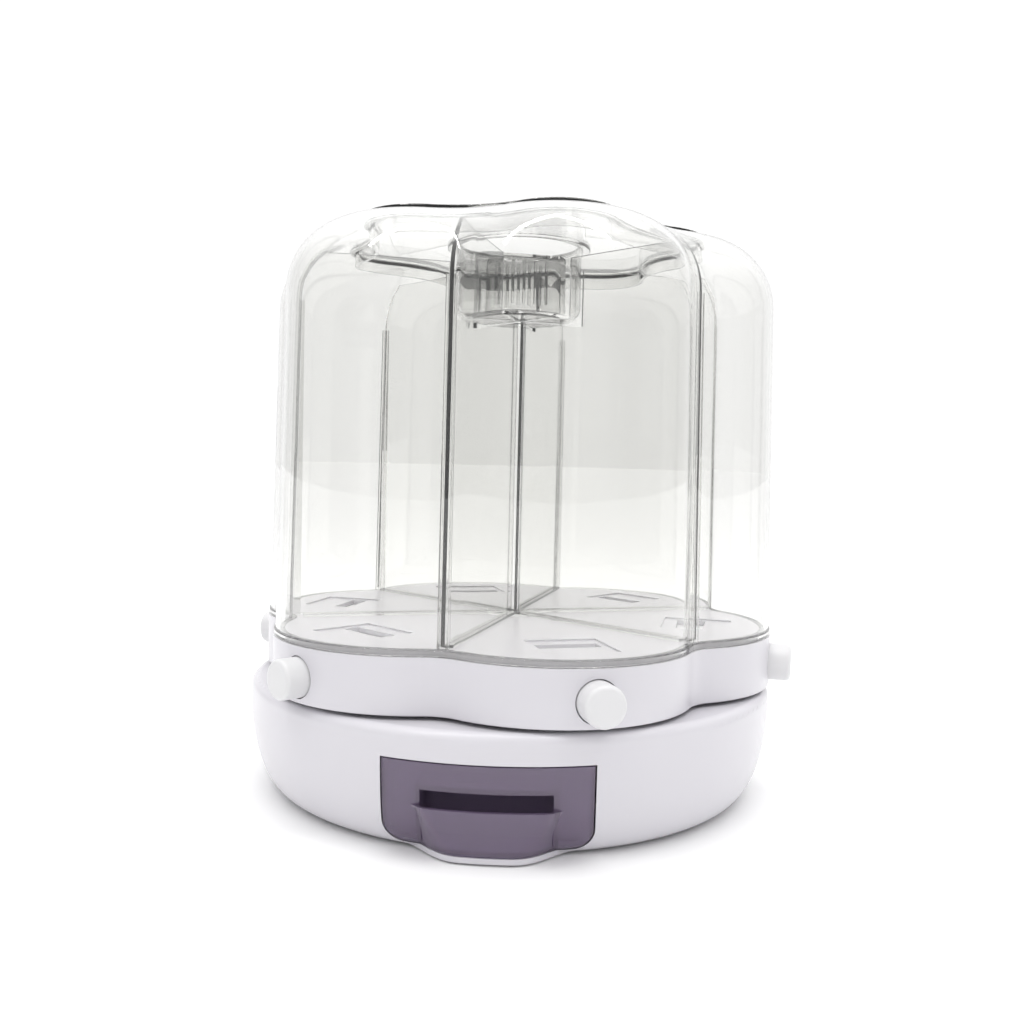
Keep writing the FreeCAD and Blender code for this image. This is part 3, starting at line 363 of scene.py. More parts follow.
def rounded(corners: Sequence[Corner]) -> list[Point]:
    """Round the corners of a closed outline.

    Args:
        corners: Two coordinates and a radius for each corner, in millimetres.

    Returns:
        The outline's points in order.
    """
    points: list[Point] = []
    count = len(corners)
    for i, (x, y, radius) in enumerate(corners):
        here = Vector((x, y))
        before = (Vector(corners[i - 1][:2]) - here).normalized()
        after = (Vector(corners[(i + 1) % count][:2]) - here).normalized()
        spread = before.angle(after)
        if radius <= 0 or spread > math.pi - 0.01:
            points.append((x, y))
            continue
        reach = radius / math.tan(spread / 2)
        middle = here + (before + after).normalized() * radius / math.sin(spread / 2)
        start = here + before * reach - middle
        each = math.radians(WIDE_ARC_STEP if radius > WIDE_ARC_MM else SMALL_ARC_STEP)
        steps = max(3, round((math.pi - spread) / each))
        side = 1 if before.x * after.y - before.y * after.x < 0 else -1
        for step in range(steps + 1):
            turn = side * (math.pi - spread) * step / steps
            spot = middle + Matrix.Rotation(turn, 2) @ start
            points.append((spot.x, spot.y))
    return points


def crisp(mesh: bpy.types.Mesh) -> bpy.types.Mesh:
    """Shade a mesh smooth, with crisp edges where faces meet sharply.

    Args:
        mesh: The mesh to shade.

    Returns:
        The same mesh.
    """
    mesh.shade_smooth()
    mesh.set_sharp_from_angle(angle=math.radians(SHARP_DEGREES))
    return mesh


def tidy_mesh(mesh: bpy.types.Mesh) -> bpy.types.Mesh:
    """Join seams, face the surface outwards and shade it with crisp edges.

    Args:
        mesh: The mesh to put right.

    Returns:
        The same mesh.
    """
    work = bmesh.new()
    work.from_mesh(mesh)
    bmesh.ops.remove_doubles(work, verts=work.verts, dist=MERGE_MM * MM)
    loose = [edge for edge in work.edges if not edge.link_faces]
    bmesh.ops.delete(work, geom=loose, context="EDGES")
    bmesh.ops.recalc_face_normals(work, faces=work.faces)
    work.to_mesh(mesh)
    work.free()
    return crisp(mesh)


def turned_mesh(name: str, outline: Sequence[Point], segments: int,
                centre: tuple[float, float] = (0.0, 0.0)) -> bpy.types.Mesh:
    """Turn a closed outline of radius and height into a round mesh.

    Args:
        name: The mesh's name.
        outline: Radius and height of each point, in millimetres.
        segments: Steps round the axis.
        centre: Where the axis stands, in millimetres.

    Returns:
        The mesh, in metres.
    """
    points = [((centre[0] + r * math.cos(a)) * MM, (centre[1] + r * math.sin(a)) * MM, z * MM)
              for a in (math.tau * i / segments for i in range(segments)) for r, z in outline]
    row = len(outline)
    faces = [(i * row + j, (i + 1) % segments * row + j, (i + 1) % segments * row + (j + 1) % row,
              i * row + (j + 1) % row) for i in range(segments) for j in range(row)]
    mesh = bpy.data.meshes.new(name)
    mesh.from_pydata(points, [], faces)
    return tidy_mesh(mesh)


def plate_mesh(name: str, outline: Sequence[Point], thickness: float, edge: float,
               lift: float = 0.0) -> bpy.types.Mesh:
    """Give an outline in the plane of -Y and Z a thickness across X, with its edges eased.

    Args:
        name: The mesh's name.
        outline: Distance towards -Y and height of each point, in millimetres.
        thickness: Thickness along X.
        edge: Size of the eased edges.
        lift: How far the plate's middle stands from the plane, along X.

    Returns:
        The mesh, in metres.
    """
    work = bmesh.new()
    ring = [work.verts.new(((lift - thickness / 2) * MM, -r * MM, z * MM)) for r, z in outline]
    face = work.faces.new(ring)
    grown = bmesh.ops.extrude_face_region(work, geom=[face])
    moved = [v for v in grown["geom"] if isinstance(v, bmesh.types.BMVert)]
    bmesh.ops.translate(work, verts=moved, vec=(thickness * MM, 0, 0))
    caps = [f for f in work.faces if len(f.verts) == len(outline)]
    rims = list({e for f in caps for e in f.edges})
    bmesh.ops.bevel(work, geom=rims, offset=edge * MM, segments=2, profile=0.6, affect="EDGES")
    mesh = bpy.data.meshes.new(name)
    work.to_mesh(mesh)
    work.free()
    return tidy_mesh(mesh)


def in_scene(name: str, data: bpy.types.ID) -> bpy.types.Object:
    """Make an object of a mesh, lamp or camera and put it in the scene.

    Args:
        name: The object's name.
        data: What it shows.

    Returns:
        The object.
    """
    thing = bpy.data.objects.new(name, data)
    bpy.context.scene.collection.objects.link(thing)
    return thing


def settled(piece: bpy.types.Object, step: bpy.types.Modifier) -> bpy.types.Mesh:
    """Work out what a modifier makes of a piece, and take the modifier off.

    Args:
        piece: The piece, in the scene.
        step: Its modifier.

    Returns:
        The result as a new mesh.
    """
    worked_out = piece.evaluated_get(bpy.context.evaluated_depsgraph_get())
    mesh = bpy.data.meshes.new_from_object(worked_out)
    piece.modifiers.remove(step)
    return mesh


def evened(piece: bpy.types.Object) -> bpy.types.Object:
    """Weight a piece's normals by face area, so that flat faces stay flat beside eased edges.

    Args:
        piece: The piece, in the scene.

    Returns:
        The same piece.
    """
    step = piece.modifiers.new("even_normals", "WEIGHTED_NORMAL")
    step.keep_sharp = True
    step.weight = 100
    mesh = settled(piece, step)
    mesh.name = piece.name
    piece.data = mesh
    return piece


def joined(name: str, parts: Sequence[bpy.types.Mesh]) -> bpy.types.Mesh:
    """Put several meshes in one.

    Args:
        name: The new mesh's name.
        parts: The meshes to copy in.

    Returns:
        The new mesh.
    """
    work = bmesh.new()
    for part in parts:
        work.from_mesh(part)
    mesh = bpy.data.meshes.new(name)
    work.to_mesh(mesh)
    work.free()
    return crisp(mesh)


class Recipe:
    """A Geometry Nodes tree with named inputs, which turns a source mesh into a finished one."""

    def __init__(self, name: str, inputs: dict[str, str]) -> None:
        """Start the tree.

        Args:
            name: The tree's name.
            inputs: Socket type of each named input.
        """
        self.tree = bpy.data.node_groups.new(name, "GeometryNodeTree")
        face = self.tree.interface
        face.new_socket("Geometry", in_out="OUTPUT", socket_type="NodeSocketGeometry")
        face.new_socket("Geometry", in_out="INPUT", socket_type="NodeSocketGeometry")
        sockets = {label: face.new_socket(label, in_out="INPUT", socket_type=kind)
                   for label, kind in (inputs | {"Finish": "NodeSocketMaterial"}).items()}
        self.keys = {label: socket.identifier for label, socket in sockets.items()}
        self.given = add_node(self.tree, "NodeGroupInput").outputs

    def math(self, operation: str, *terms: Any) -> bpy.types.NodeSocket:
        """Work out a number inside the tree.

        Args:
            operation: The Math node's operation.
            terms: Numbers or sockets to work on.

        Returns:
            The result's socket.
        """
        return add_node(self.tree, "ShaderNodeMath", {"operation": operation},
                        dict(enumerate(terms))).outputs[0]

    def close(self, geometry: bpy.types.NodeSocket) -> None:
        """Make copies real, give them their finish and end the tree."""
        real = add_node(self.tree, "GeometryNodeRealizeInstances", None, {"Geometry": geometry})
        done = add_node(self.tree, "GeometryNodeSetMaterial", None,
                        {"Geometry": real.outputs[0], "Material": self.given["Finish"]})
        add_node(self.tree, "NodeGroupOutput", None, {0: done.outputs[0]})

    def make(self, name: str, source: bpy.types.Mesh, finish: bpy.types.Material,
             values: dict[str, float]) -> bpy.types.Object:
        """Run the tree on a mesh and keep the result as a plain mesh.

        Args:
            name: The new piece's name.
            source: The mesh that goes in.
            finish: The material of the result.
            values: A value for each named input.

        Returns:
            The piece, in the scene.
        """
        piece = in_scene(name, source)
        step = piece.modifiers.new(self.tree.name, "NODES")
        step.node_group = self.tree
        for label, value in (values | {"Finish": finish}).items():
            step[self.keys[label]] = value
        piece.data = tidy_mesh(settled(piece, step))
        return evened(piece)


class RingRecipe(Recipe):
    """Sets copies of a mesh at even steps round the spindle."""

    def __init__(self) -> None:
        """Build the tree."""
        super().__init__("set_round_spindle", {"Count": "NodeSocketInt", "Turn": "NodeSocketFloat"})
        spots = add_node(self.tree, "GeometryNodePoints", None, {"Count": self.given["Count"]})
        index = add_node(self.tree, "GeometryNodeInputIndex").outputs[0]
        step = self.math("DIVIDE", math.tau, self.given["Count"])
        angle = self.math("ADD", self.math("MULTIPLY", index, step), self.given["Turn"])
        turn = add_node(self.tree, "ShaderNodeCombineXYZ", None, {"Z": angle})
        copies = add_node(self.tree, "GeometryNodeInstanceOnPoints", None,
                          {"Points": spots.outputs[0], "Instance": self.given["Geometry"],
                           "Rotation": turn.outputs[0]})
        self.close(copies.outputs[0])

    def place(self, name: str, source: bpy.types.Mesh, finish: bpy.types.Material,
              turn: float, count: int = 6) -> bpy.types.Object:
        """Set copies of a mesh round the spindle.

        Args:
            name: The piece's name.
            source: One copy, made on the -Y side.
            finish: The copies' material.
            turn: Direction of the first copy, in degrees.
            count: How many copies.

        Returns:
            The piece.
        """
        return self.make(name, source, finish, {"Count": count, "Turn": math.radians(turn)})


class CoilRecipe(Recipe):
    """Winds a wire into a coil whose axis lies along -Y, from the origin."""

    STEPS_PER_TURN = 28
    WIRE_STEPS = 10

    def __init__(self) -> None:
        """Build the tree."""
        labels = ("Turns", "Coil Radius", "Wire Radius", "Length", "Start", "Height", "Turn")
        super().__init__("wind_coil", {label: "NodeSocketFloat" for label in labels})
        path = add_node(self.tree, "GeometryNodeCurveSpiral", None,
                        {"Resolution": self.STEPS_PER_TURN, "Rotations": self.given["Turns"],
                         "Start Radius": self.given["Coil Radius"],
                         "End Radius": self.given["Coil Radius"], "Height": self.given["Length"]})
        section = add_node(self.tree, "GeometryNodeCurvePrimitiveCircle", None,
                           {"Resolution": self.WIRE_STEPS, "Radius": self.given["Wire Radius"]})
        wire = add_node(self.tree, "GeometryNodeCurveToMesh", None,
                        {"Curve": path.outputs[0], "Profile Curve": section.outputs[0],
                         "Fill Caps": True})
        back = self.math("MULTIPLY", self.given["Start"], -1.0)
        place = add_node(self.tree, "ShaderNodeCombineXYZ", None, {"Y": back, "Z": self.given["Height"]})
        laid = add_node(self.tree, "GeometryNodeTransform", None,
                        {"Geometry": wire.outputs[0], "Translation": place.outputs[0],
                         "Rotation": (math.pi / 2, 0, 0)})
        spin = add_node(self.tree, "ShaderNodeCombineXYZ", None, {"Z": self.given["Turn"]})
        turned = add_node(self.tree, "GeometryNodeTransform", None,
                          {"Geometry": laid.outputs[0], "Rotation": spin.outputs[0]})
        self.close(turned.outputs[0])


class LobedRecipe(Recipe):
    """Wraps a flat sheet round the six-lobed outline.

    The sheet's X is the share of a whole turn, its Y the distance inside the outline, its Z the height.
    """

    def __init__(self) -> None:
        """Build the tree."""
        labels = ("Lobe Centre", "Lobe Radius", "Valley Distance", "Valley Radius", "Half Sweep",
                  "Lobe Share", "Turn")
        super().__init__("wrap_round_lobes", {"Lobes": "NodeSocketInt"}
                         | {label: "NodeSocketFloat" for label in labels})
        given, maths = self.given, self.math
        spot = add_node(self.tree, "GeometryNodeInputPosition").outputs[0]
        parts = add_node(self.tree, "ShaderNodeSeparateXYZ", None, {0: spot}).outputs
        along = maths("MULTIPLY", parts["X"], given["Lobes"])
        sector, share = maths("FLOOR", along), maths("FRACT", along)
        step = maths("DIVIDE", math.tau, given["Lobes"])

        doubled = maths("MULTIPLY", share, 2.0)
        on_lobe = maths("SUBTRACT", maths("DIVIDE", doubled, given["Lobe Share"]), 1.0)
        lobe_angle = maths("MULTIPLY", on_lobe, given["Half Sweep"])
        lobe_r = maths("SUBTRACT", given["Lobe Radius"], parts["Y"])
        lobe_x = maths("ADD", given["Lobe Centre"],
                       maths("MULTIPLY", lobe_r, maths("COSINE", lobe_angle)))
        lobe_y = maths("MULTIPLY", lobe_r, maths("SINE", lobe_angle))

        on_valley = maths("DIVIDE", maths("SUBTRACT", share, given["Lobe Share"]),
                          maths("SUBTRACT", 1.0, given["Lobe Share"]))
        swing = maths("SUBTRACT", step, maths("MULTIPLY", given["Half Sweep"], 2.0))
        valley_angle = maths("ADD", maths("ADD", math.pi, given["Half Sweep"]),
                             maths("MULTIPLY", on_valley, swing))
        valley_r = maths("ADD", given["Valley Radius"], parts["Y"])
        half = maths("DIVIDE", step, 2.0)
        middle_x = maths("MULTIPLY", given["Valley Distance"], maths("COSINE", half))
        middle_y = maths("MULTIPLY", given["Valley Distance"], maths("SINE", half))
        valley_x = maths("ADD", middle_x, maths("MULTIPLY", valley_r, maths("COSINE", valley_angle)))
        valley_y = maths("ADD", middle_y, maths("MULTIPLY", valley_r, maths("SINE", valley_angle)))

        past = maths("GREATER_THAN", share, given["Lobe Share"])
        lobe = add_node(self.tree, "ShaderNodeCombineXYZ", None,
                        {"X": lobe_x, "Y": lobe_y, "Z": parts["Z"]})
        valley = add_node(self.tree, "ShaderNodeCombineXYZ", None,
                          {"X": valley_x, "Y": valley_y, "Z": parts["Z"]})
        chosen = add_node(self.tree, "ShaderNodeMix", {"data_type": "VECTOR"},
                          {0: past, 4: lobe.outputs[0], 5: valley.outputs[0]})
        angle = maths("ADD", maths("MULTIPLY", sector, step), given["Turn"])
        turned = add_node(self.tree, "ShaderNodeVectorRotate", {"rotation_type": "Z_AXIS"},
                          {"Vector": chosen.outputs[1], "Angle": angle})
        wrapped = add_node(self.tree, "GeometryNodeSetPosition", None,
                           {"Geometry": given["Geometry"], "Position": turned.outputs[0]})
        self.close(wrapped.outputs[0])


@dataclass(frozen=True)
class LobedOutline:
    """The carousel's six-lobed outline. Distances inside it are called insets."""

    lobes: int = 6
    lobe_centre: float = 76.3
    lobe_radius: float = 78.9
    valley_radius: float = 24.7
    rest_turn: float = 19.4
    lobe_steps: int = 44
    valley_steps: int = 14

    @property
    def step(self) -> float:
        """Angle from lobe to lobe, in degrees."""
        return 360 / self.lobes

    @property
    def valley_turn(self) -> float:
        """Direction of the first valley, in degrees."""
        return self.rest_turn + self.step / 2

    @property
    def valley_distance(self) -> float:
        """Distance from the spindle to the centre of a valley's arc."""
        half = math.pi / self.lobes
        return self.lobe_centre * math.cos(half) + math.sqrt(
            (self.lobe_radius + self.valley_radius) ** 2 - (self.lobe_centre * math.sin(half)) ** 2)

    @property
    def valley_bottom(self) -> float:
        """Distance from the spindle to the bottom of a valley."""
        return self.valley_distance - self.valley_radius

    @property
    def half_sweep(self) -> float:
        """Half the angle that a lobe's arc covers, in radians."""
        half = math.pi / self.lobes
        return math.atan2(self.valley_distance * math.sin(half),
                          self.valley_distance * math.cos(half) - self.lobe_centre)

    def sheet(self, name: str, outline: Sequence[Point]) -> bpy.types.Mesh:
        """Make the flat sheet that the lobed recipe wraps.

        Args:
            name: The mesh's name.
            outline: Inset and height of each point of the closed section, in millimetres.

        Returns:
            The sheet.
        """
        columns = self.lobes * (self.lobe_steps + self.valley_steps)
        row = len(outline)
        points = [(i / columns, inset * MM, z * MM) for i in range(columns + 1) for inset, z in outline]
        faces = [(i * row + j, (i + 1) * row + j, (i + 1) * row + (j + 1) % row, i * row + (j + 1) % row)
                 for i in range(columns) for j in range(row)]
        mesh = bpy.data.meshes.new(name)
        mesh.from_pydata(points, [], faces)
        return mesh

    def wrap(self, recipe: LobedRecipe, name: str, outline: Sequence[Point],
             finish: bpy.types.Material) -> bpy.types.Object:
        """Wrap a section round the lobes.

        Args:
            recipe: The tree that wraps it.
            name: The piece's name.
            outline: Inset and height of each point of the closed section, in millimetres.
            finish: The piece's material.

        Returns:
            The piece.
        """
        columns = self.lobe_steps + self.valley_steps
        return recipe.make(name, self.sheet(name, outline), finish, {
            "Lobes": self.lobes, "Lobe Centre": self.lobe_centre * MM, "Lobe Radius": self.lobe_radius * MM,
            "Valley Distance": self.valley_distance * MM, "Valley Radius": self.valley_radius * MM,
            "Half Sweep": self.half_sweep, "Lobe Share": (self.lobe_steps + 0.5) / columns,
            "Turn": math.radians(self.rest_turn - 90)})


class Tools:
    """The recipes that every sub-assembly shares."""

    def __init__(self) -> None:
        """Build each recipe once."""
        self.lobes = LobedRecipe()
        self.ring = RingRecipe()
        self.coil = CoilRecipe()


def add_piece(name: str, mesh: bpy.types.Mesh, finish: bpy.types.Material) -> bpy.types.Object:
    """Put a mesh in the scene with its material.

    Args:
        name: The piece's name.
        mesh: Its mesh.
        finish: Its material.

    Returns:
        The piece.
    """
    mesh.materials.clear()
    mesh.materials.append(finish)
    return evened(in_scene(name, mesh))


def mount(piece: bpy.types.Object, body: str, slot: str, *nodes: str) -> None:
    """Let a piece ride on its body and stand for its CAD nodes.

    Args:
        piece: The piece.
        body: The body that it rides on.
        slot: Not used.
        nodes: The CAD nodes that it stands for.
    """
    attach(piece, body)
    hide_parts(*nodes)
    LOG.info("%s stands for %s on %s, with %d faces", piece.name, ", ".join(nodes), body,
             len(piece.data.polygons))


# ---- Sub-assemblies ------------------------------------------------------------


@dataclass
class Canister:
    """Clear six-lobed shell with a flange, a round shoulder and guides for the vanes."""

    ledge_z: float = 95.0
    floor_z: float = 98.5
    dome_z: float = 321.3
    wall: float = 2.2
    shoulder: float = 40.0
    side_inset: float = 1.2
    draft: float = 1.03
    flange_inset: float = 0.3
    flange_width: float = 5.8
    opening_inset: float = 48.5
    seat_gap: float = 0.1
    guide_gap: float = 0.15
    guide_thickness: float = 1.4
    guide_depth: float = 5.0
    guide_offset: float = 2.2
    outline: LobedOutline = LobedOutline()

    def lean(self, z: float) -> float:
        """How far the side has leaned in at a height."""
        return (z - self.floor_z) * math.tan(math.radians(self.draft))

    def section(self) -> list[Point]:
        """Section of the shell as inset and height."""
        seat = self.flange_inset + self.flange_width
        top_in = self.side_inset + self.lean(self.dome_z)
        under = self.dome_z - self.wall
        inner = self.side_inset + self.wall
        low = self.floor_z + self.seat_gap
        return rounded([
            (self.flange_inset, self.ledge_z, 0.4), (self.flange_inset, low, 0.5),
            (self.side_inset, low, 0.3), (top_in, self.dome_z, self.shoulder),
            (self.opening_inset, self.dome_z, 0.5), (self.opening_inset, under, 0.5),
            (inner + self.lean(under), under, self.shoulder - self.wall),
            (inner, low, 0.3), (seat, low, 0.3), (seat, self.ledge_z, 0.3)])

    def guide_pair(self) -> bpy.types.Mesh:
        """Two upright guides, one on each side of a vane."""
        reach = self.outline.valley_bottom - self.side_inset - self.wall
        top = self.dome_z - self.shoulder
        low, high = reach - TOUCH_GAP, reach - self.lean(top) - TOUCH_GAP
        bottom = self.floor_z + self.guide_gap
        edge = [(low, bottom), (high, top), (reach - self.guide_depth, top),
                (reach - self.guide_depth, bottom)]
        parts = [plate_mesh("vane_guide", edge, self.guide_thickness, 0.25, side * self.guide_offset)
                 for side in (-1, 1)]
        return joined("vane_guide_pair", parts)

    def build(self, tools: Tools, finishes: Finishes) -> None:
        """Build the shell and its guides."""
        shell = self.outline.wrap(tools.lobes, "canister_shell", self.section(), finishes.clear_styrene)
        mount(shell, Body.CAROUSEL.value, "clear_shell", "canister")
        guides = tools.ring.place("canister_vane_guides", self.guide_pair(), finishes.clear_styrene,
                                  self.outline.valley_turn)
        mount(guides, Body.CAROUSEL.value, "clear_shell", "canister")


@dataclass
class Partition:
    """Clear six-vane divider with a round core and a foot under each vane."""

    floor_z: float = 98.6
    side_inset: float = 4.2
    draft: float = 1.03
    shoulder: float = 37.0
    shoulder_z: float = 318.3
    shoulder_slope: float = 0.9
    top_z: float = 310.8
    thickness: float = 2.2
    core_radius: float = 5.0
    core_steps: int = 48
    notch_radius: float = 42.0
    notch_z: float = 275.8
    foot_width: float = 8.0
    foot_height: float = 1.6
    foot_end: float = 127.5
    outline: LobedOutline = LobedOutline()

    def vane(self) -> bpy.types.Mesh:
        """One vane with its foot, on the -Y side."""
        inner = self.core_radius + TOUCH_GAP
        low = self.floor_z + self.foot_height + TOUCH_GAP
        outer = self.outline.valley_bottom - self.side_inset
        lean = (self.shoulder_z - self.floor_z) * math.tan(math.radians(self.draft))
        edge = rounded([(inner, low, 0), (outer, low, 0.6), (outer - lean, self.shoulder_z, self.shoulder),
                        (self.notch_radius, self.shoulder_z, 0), (self.notch_radius, self.notch_z, 0.8),
                        (inner, self.notch_z, 0)])
        capped = [(r, z) for r, z in edge if z <= self.top_z]
        last = max(i for i, (r, z) in enumerate(capped) if r > self.notch_radius + 1)
        reach, height = capped[last]
        capped[last + 1:last + 1] = [(reach - (self.top_z - height) * self.shoulder_slope, self.top_z),
                                     (self.notch_radius, self.top_z)]
        vane = plate_mesh("vane_plate", capped, self.thickness, 0.3)
        foot_top = self.floor_z + self.foot_height
        sole = [(inner, self.floor_z), (self.foot_end, self.floor_z), (self.foot_end, foot_top),
                (inner, foot_top)]
        foot = plate_mesh("vane_foot", sole, self.foot_width, 0.3)
        return joined("vane_and_foot", [vane, foot])

    def core(self) -> bpy.types.Mesh:
        """The round core that the vanes meet in."""
        return turned_mesh("divider_core", rounded([
            (0, self.floor_z, 0), (self.core_radius, self.floor_z, 0.4),
            (self.core_radius, self.notch_z, 0.6), (0, self.notch_z, 0)]), self.core_steps)

    def build(self, tools: Tools, finishes: Finishes) -> None:
        """Build the vanes and the core."""
        vanes = tools.ring.place("divider_vanes", self.vane(), finishes.clear_styrene,
                                 self.outline.valley_turn)
        mount(vanes, Body.CAROUSEL.value, "clear_shell", "partition")
        core = add_piece("divider_core", self.core(), finishes.clear_styrene)
        mount(core, Body.CAROUSEL.value, "clear_shell", "partition")


@dataclass
class Lid:
    """Lift-off lid: lobed plate, silicone seal, recessed cup and ribbed grip bar."""

    seal_inset: float = 45.9
    seal_width: float = 2.2
    seal_z: float = 321.4
    plate_z: float = 322.4
    top_z: float = 324.6
    cup_radius: float = 38.4
    cup_z: float = 276.6
    cup_corner: float = 9.0
    cup_flange: float = 4.6
    cup_flange_height: float = 2.0
    cup_steps: int = 128
    wall: float = 2.2
    grip_z: float = 278.82
    grip_top_z: float = 317.6
    grip_half_length: float = 29.2
    grip_half_width: float = 9.0
    grip_end: float = 8.0
    grip_edge: float = 2.0
    rib_count: int = 5
    rib_pitch: float = 7.0
    rib_width: float = 1.6
    rib_proud: float = 1.4
    rib_z: float = 285.8
    rib_top_z: float = 312.6
    outline: LobedOutline = LobedOutline()

    def bar(self) -> bpy.types.Mesh:
        """Grip bar that lies along X, with round ends and eased edges."""
        wide, far, end = self.grip_half_width, self.grip_half_length, self.grip_end
        plan = rounded([(-wide, -far, end), (wide, -far, end), (wide, far, end), (-wide, far, end)])
        mesh = plate_mesh("grip_bar", plan, self.grip_top_z - self.grip_z, self.grip_edge)
        mesh.transform(Matrix.Translation((0, 0, (self.grip_top_z + self.grip_z) / 2 * MM))
                       @ Matrix.Rotation(math.radians(-90), 4, "Y"))
        return mesh

    def ribs(self) -> bpy.types.Mesh:
        """The upright finger ribs on one face of the bar."""
        near = self.grip_half_width + TOUCH_GAP
        far = self.grip_half_width + self.rib_proud
        edge = [(near, self.rib_z), (far, self.rib_z), (far, self.rib_top_z), (near, self.rib_top_z)]
        middle = (self.rib_count - 1) / 2
        return joined("finger_ribs", [plate_mesh("finger_rib", edge, self.rib_width, 0.3,
                                                 (i - middle) * self.rib_pitch)
                                      for i in range(self.rib_count)])

    def cup(self) -> bpy.types.Mesh:
        """Recessed cup with a flange bonded under the plate."""
        radius, wall = self.cup_radius, self.wall
        rim, bonded = radius + self.cup_flange, self.plate_z - TOUCH_GAP
        ledge = self.plate_z - self.cup_flange_height
        return turned_mesh("lid_cup", rounded([
            (0, self.cup_z, 0), (radius, self.cup_z, self.cup_corner), (radius, ledge, 0.3),
            (rim, ledge, 0.5), (rim, bonded, 0.2), (radius, bonded, 0),
            (radius, self.top_z, 0.7), (radius - wall, self.top_z, 0.9),
            (radius - wall, self.cup_z + wall, self.cup_corner - wall),
            (0, self.cup_z + wall, 0)]), self.cup_steps)

    def build(self, tools: Tools, finishes: Finishes) -> None:
        """Build the seal and cup, and dress the plate and the grip bar."""
        section = rounded([(self.seal_inset, self.seal_z, 0.3), (self.seal_inset, self.plate_z, 0.3),
                           (self.seal_inset + self.seal_width, self.plate_z, 0.3),
                           (self.seal_inset + self.seal_width, self.seal_z, 0.3)])
        seal = self.outline.wrap(tools.lobes, "lid_seal_ring", section, finishes.silicone)
        mount(seal, Body.LID.value, "seal_rubber", "lid_seal")
        cup = add_piece("lid_grip_cup", self.cup(), finishes.clear_styrene)
        mount(cup, Body.LID.value, "clear_shell", "lid_cup")
        dress("lid_panel", finishes.clear_styrene)
        bar = tools.ring.place("lid_grip_bar", self.bar(), finishes.clear_styrene,
                               self.outline.rest_turn, 1)
        mount(bar, Body.LID.value, "clear_shell", "lid_grip")
        ribs = tools.ring.place("lid_grip_ribs", self.ribs(), finishes.clear_styrene,
                                self.outline.rest_turn, 2)
        mount(ribs, Body.LID.value, "clear_shell", "lid_grip")


@dataclass
class ReturnSprings:
    """Coil springs that push the buttons out, one in each lobe."""

    start: float = 120.45
    end: float = 143.15
    outer_dia: float = 13.0
    wire: float = 1.2
    turns: float = 6.0
    height: float = 79.2
    outline: LobedOutline = LobedOutline()

    def build(self, tools: Tools, finishes: Finishes) -> None:
        """Wind one spring for each button."""
        for number in range(1, self.outline.lobes + 1):
            turn = self.outline.rest_turn + (number - 1) * self.outline.step
            blank = bpy.data.meshes.new("spring_blank")
            coil = tools.coil.make("return_spring_%d" % number, blank, finishes.spring_wire, {
                "Turns": self.turns, "Coil Radius": (self.outer_dia - self.wire) / 2 * MM,
                "Wire Radius": self.wire / 2 * MM, "Length": (self.end - self.start - self.wire) * MM,
                "Start": (self.start + self.wire / 2) * MM, "Height": self.height * MM,
                "Turn": math.radians(turn)})
            mount(coil, Body.CAROUSEL.value, "spring_steel", "button_spring_%d" % number)


@dataclass
class Screw:
    """Pan-head screw, head up, made on the -Y side."""

    radius_at: float
    seat_z: float
    head_up: bool = True
    dia: float = 3.0
    head_dia: float = 5.6
    head_height: float = 1.8
    length: float = 10.0
    thread_pitch: float = 0.8
    thread_depth: float = 0.18
    tip_length: float = 1.0
    plain_length: float = 2.0
    steps: int = 28

    def outline(self) -> list[Point]:
        """Radius and height of half the screw, with its thread as rings."""
        shank, head = self.dia / 2, self.head_dia / 2
        turns = int((self.length - self.plain_length) / self.thread_pitch)
        thread: list[Point] = []
        for i in range(turns):
            z = -self.length + self.tip_length + i * self.thread_pitch
            thread += [(shank - self.thread_depth, z), (shank, z + self.thread_pitch / 2)]
        socket = [(head * 0.34, self.head_height - 0.1), (head * 0.28, 0.9), (0, 0.7)]
        return [(0, -self.length), (shank * 0.5, -self.length)] + thread + [
            (shank, -0.4), (shank, 0), (head, 0), (head, self.head_height * 0.55),
            (head * 0.93, self.head_height * 0.82), (head * 0.78, self.head_height)] + socket

    def mesh(self) -> bpy.types.Mesh:
        """The screw in its place."""
        flip = 1 if self.head_up else -1
        points = [(r, self.seat_z + flip * z) for r, z in self.outline()]
        return turned_mesh("pan_head_screw", points, self.steps, (0.0, -self.radius_at))


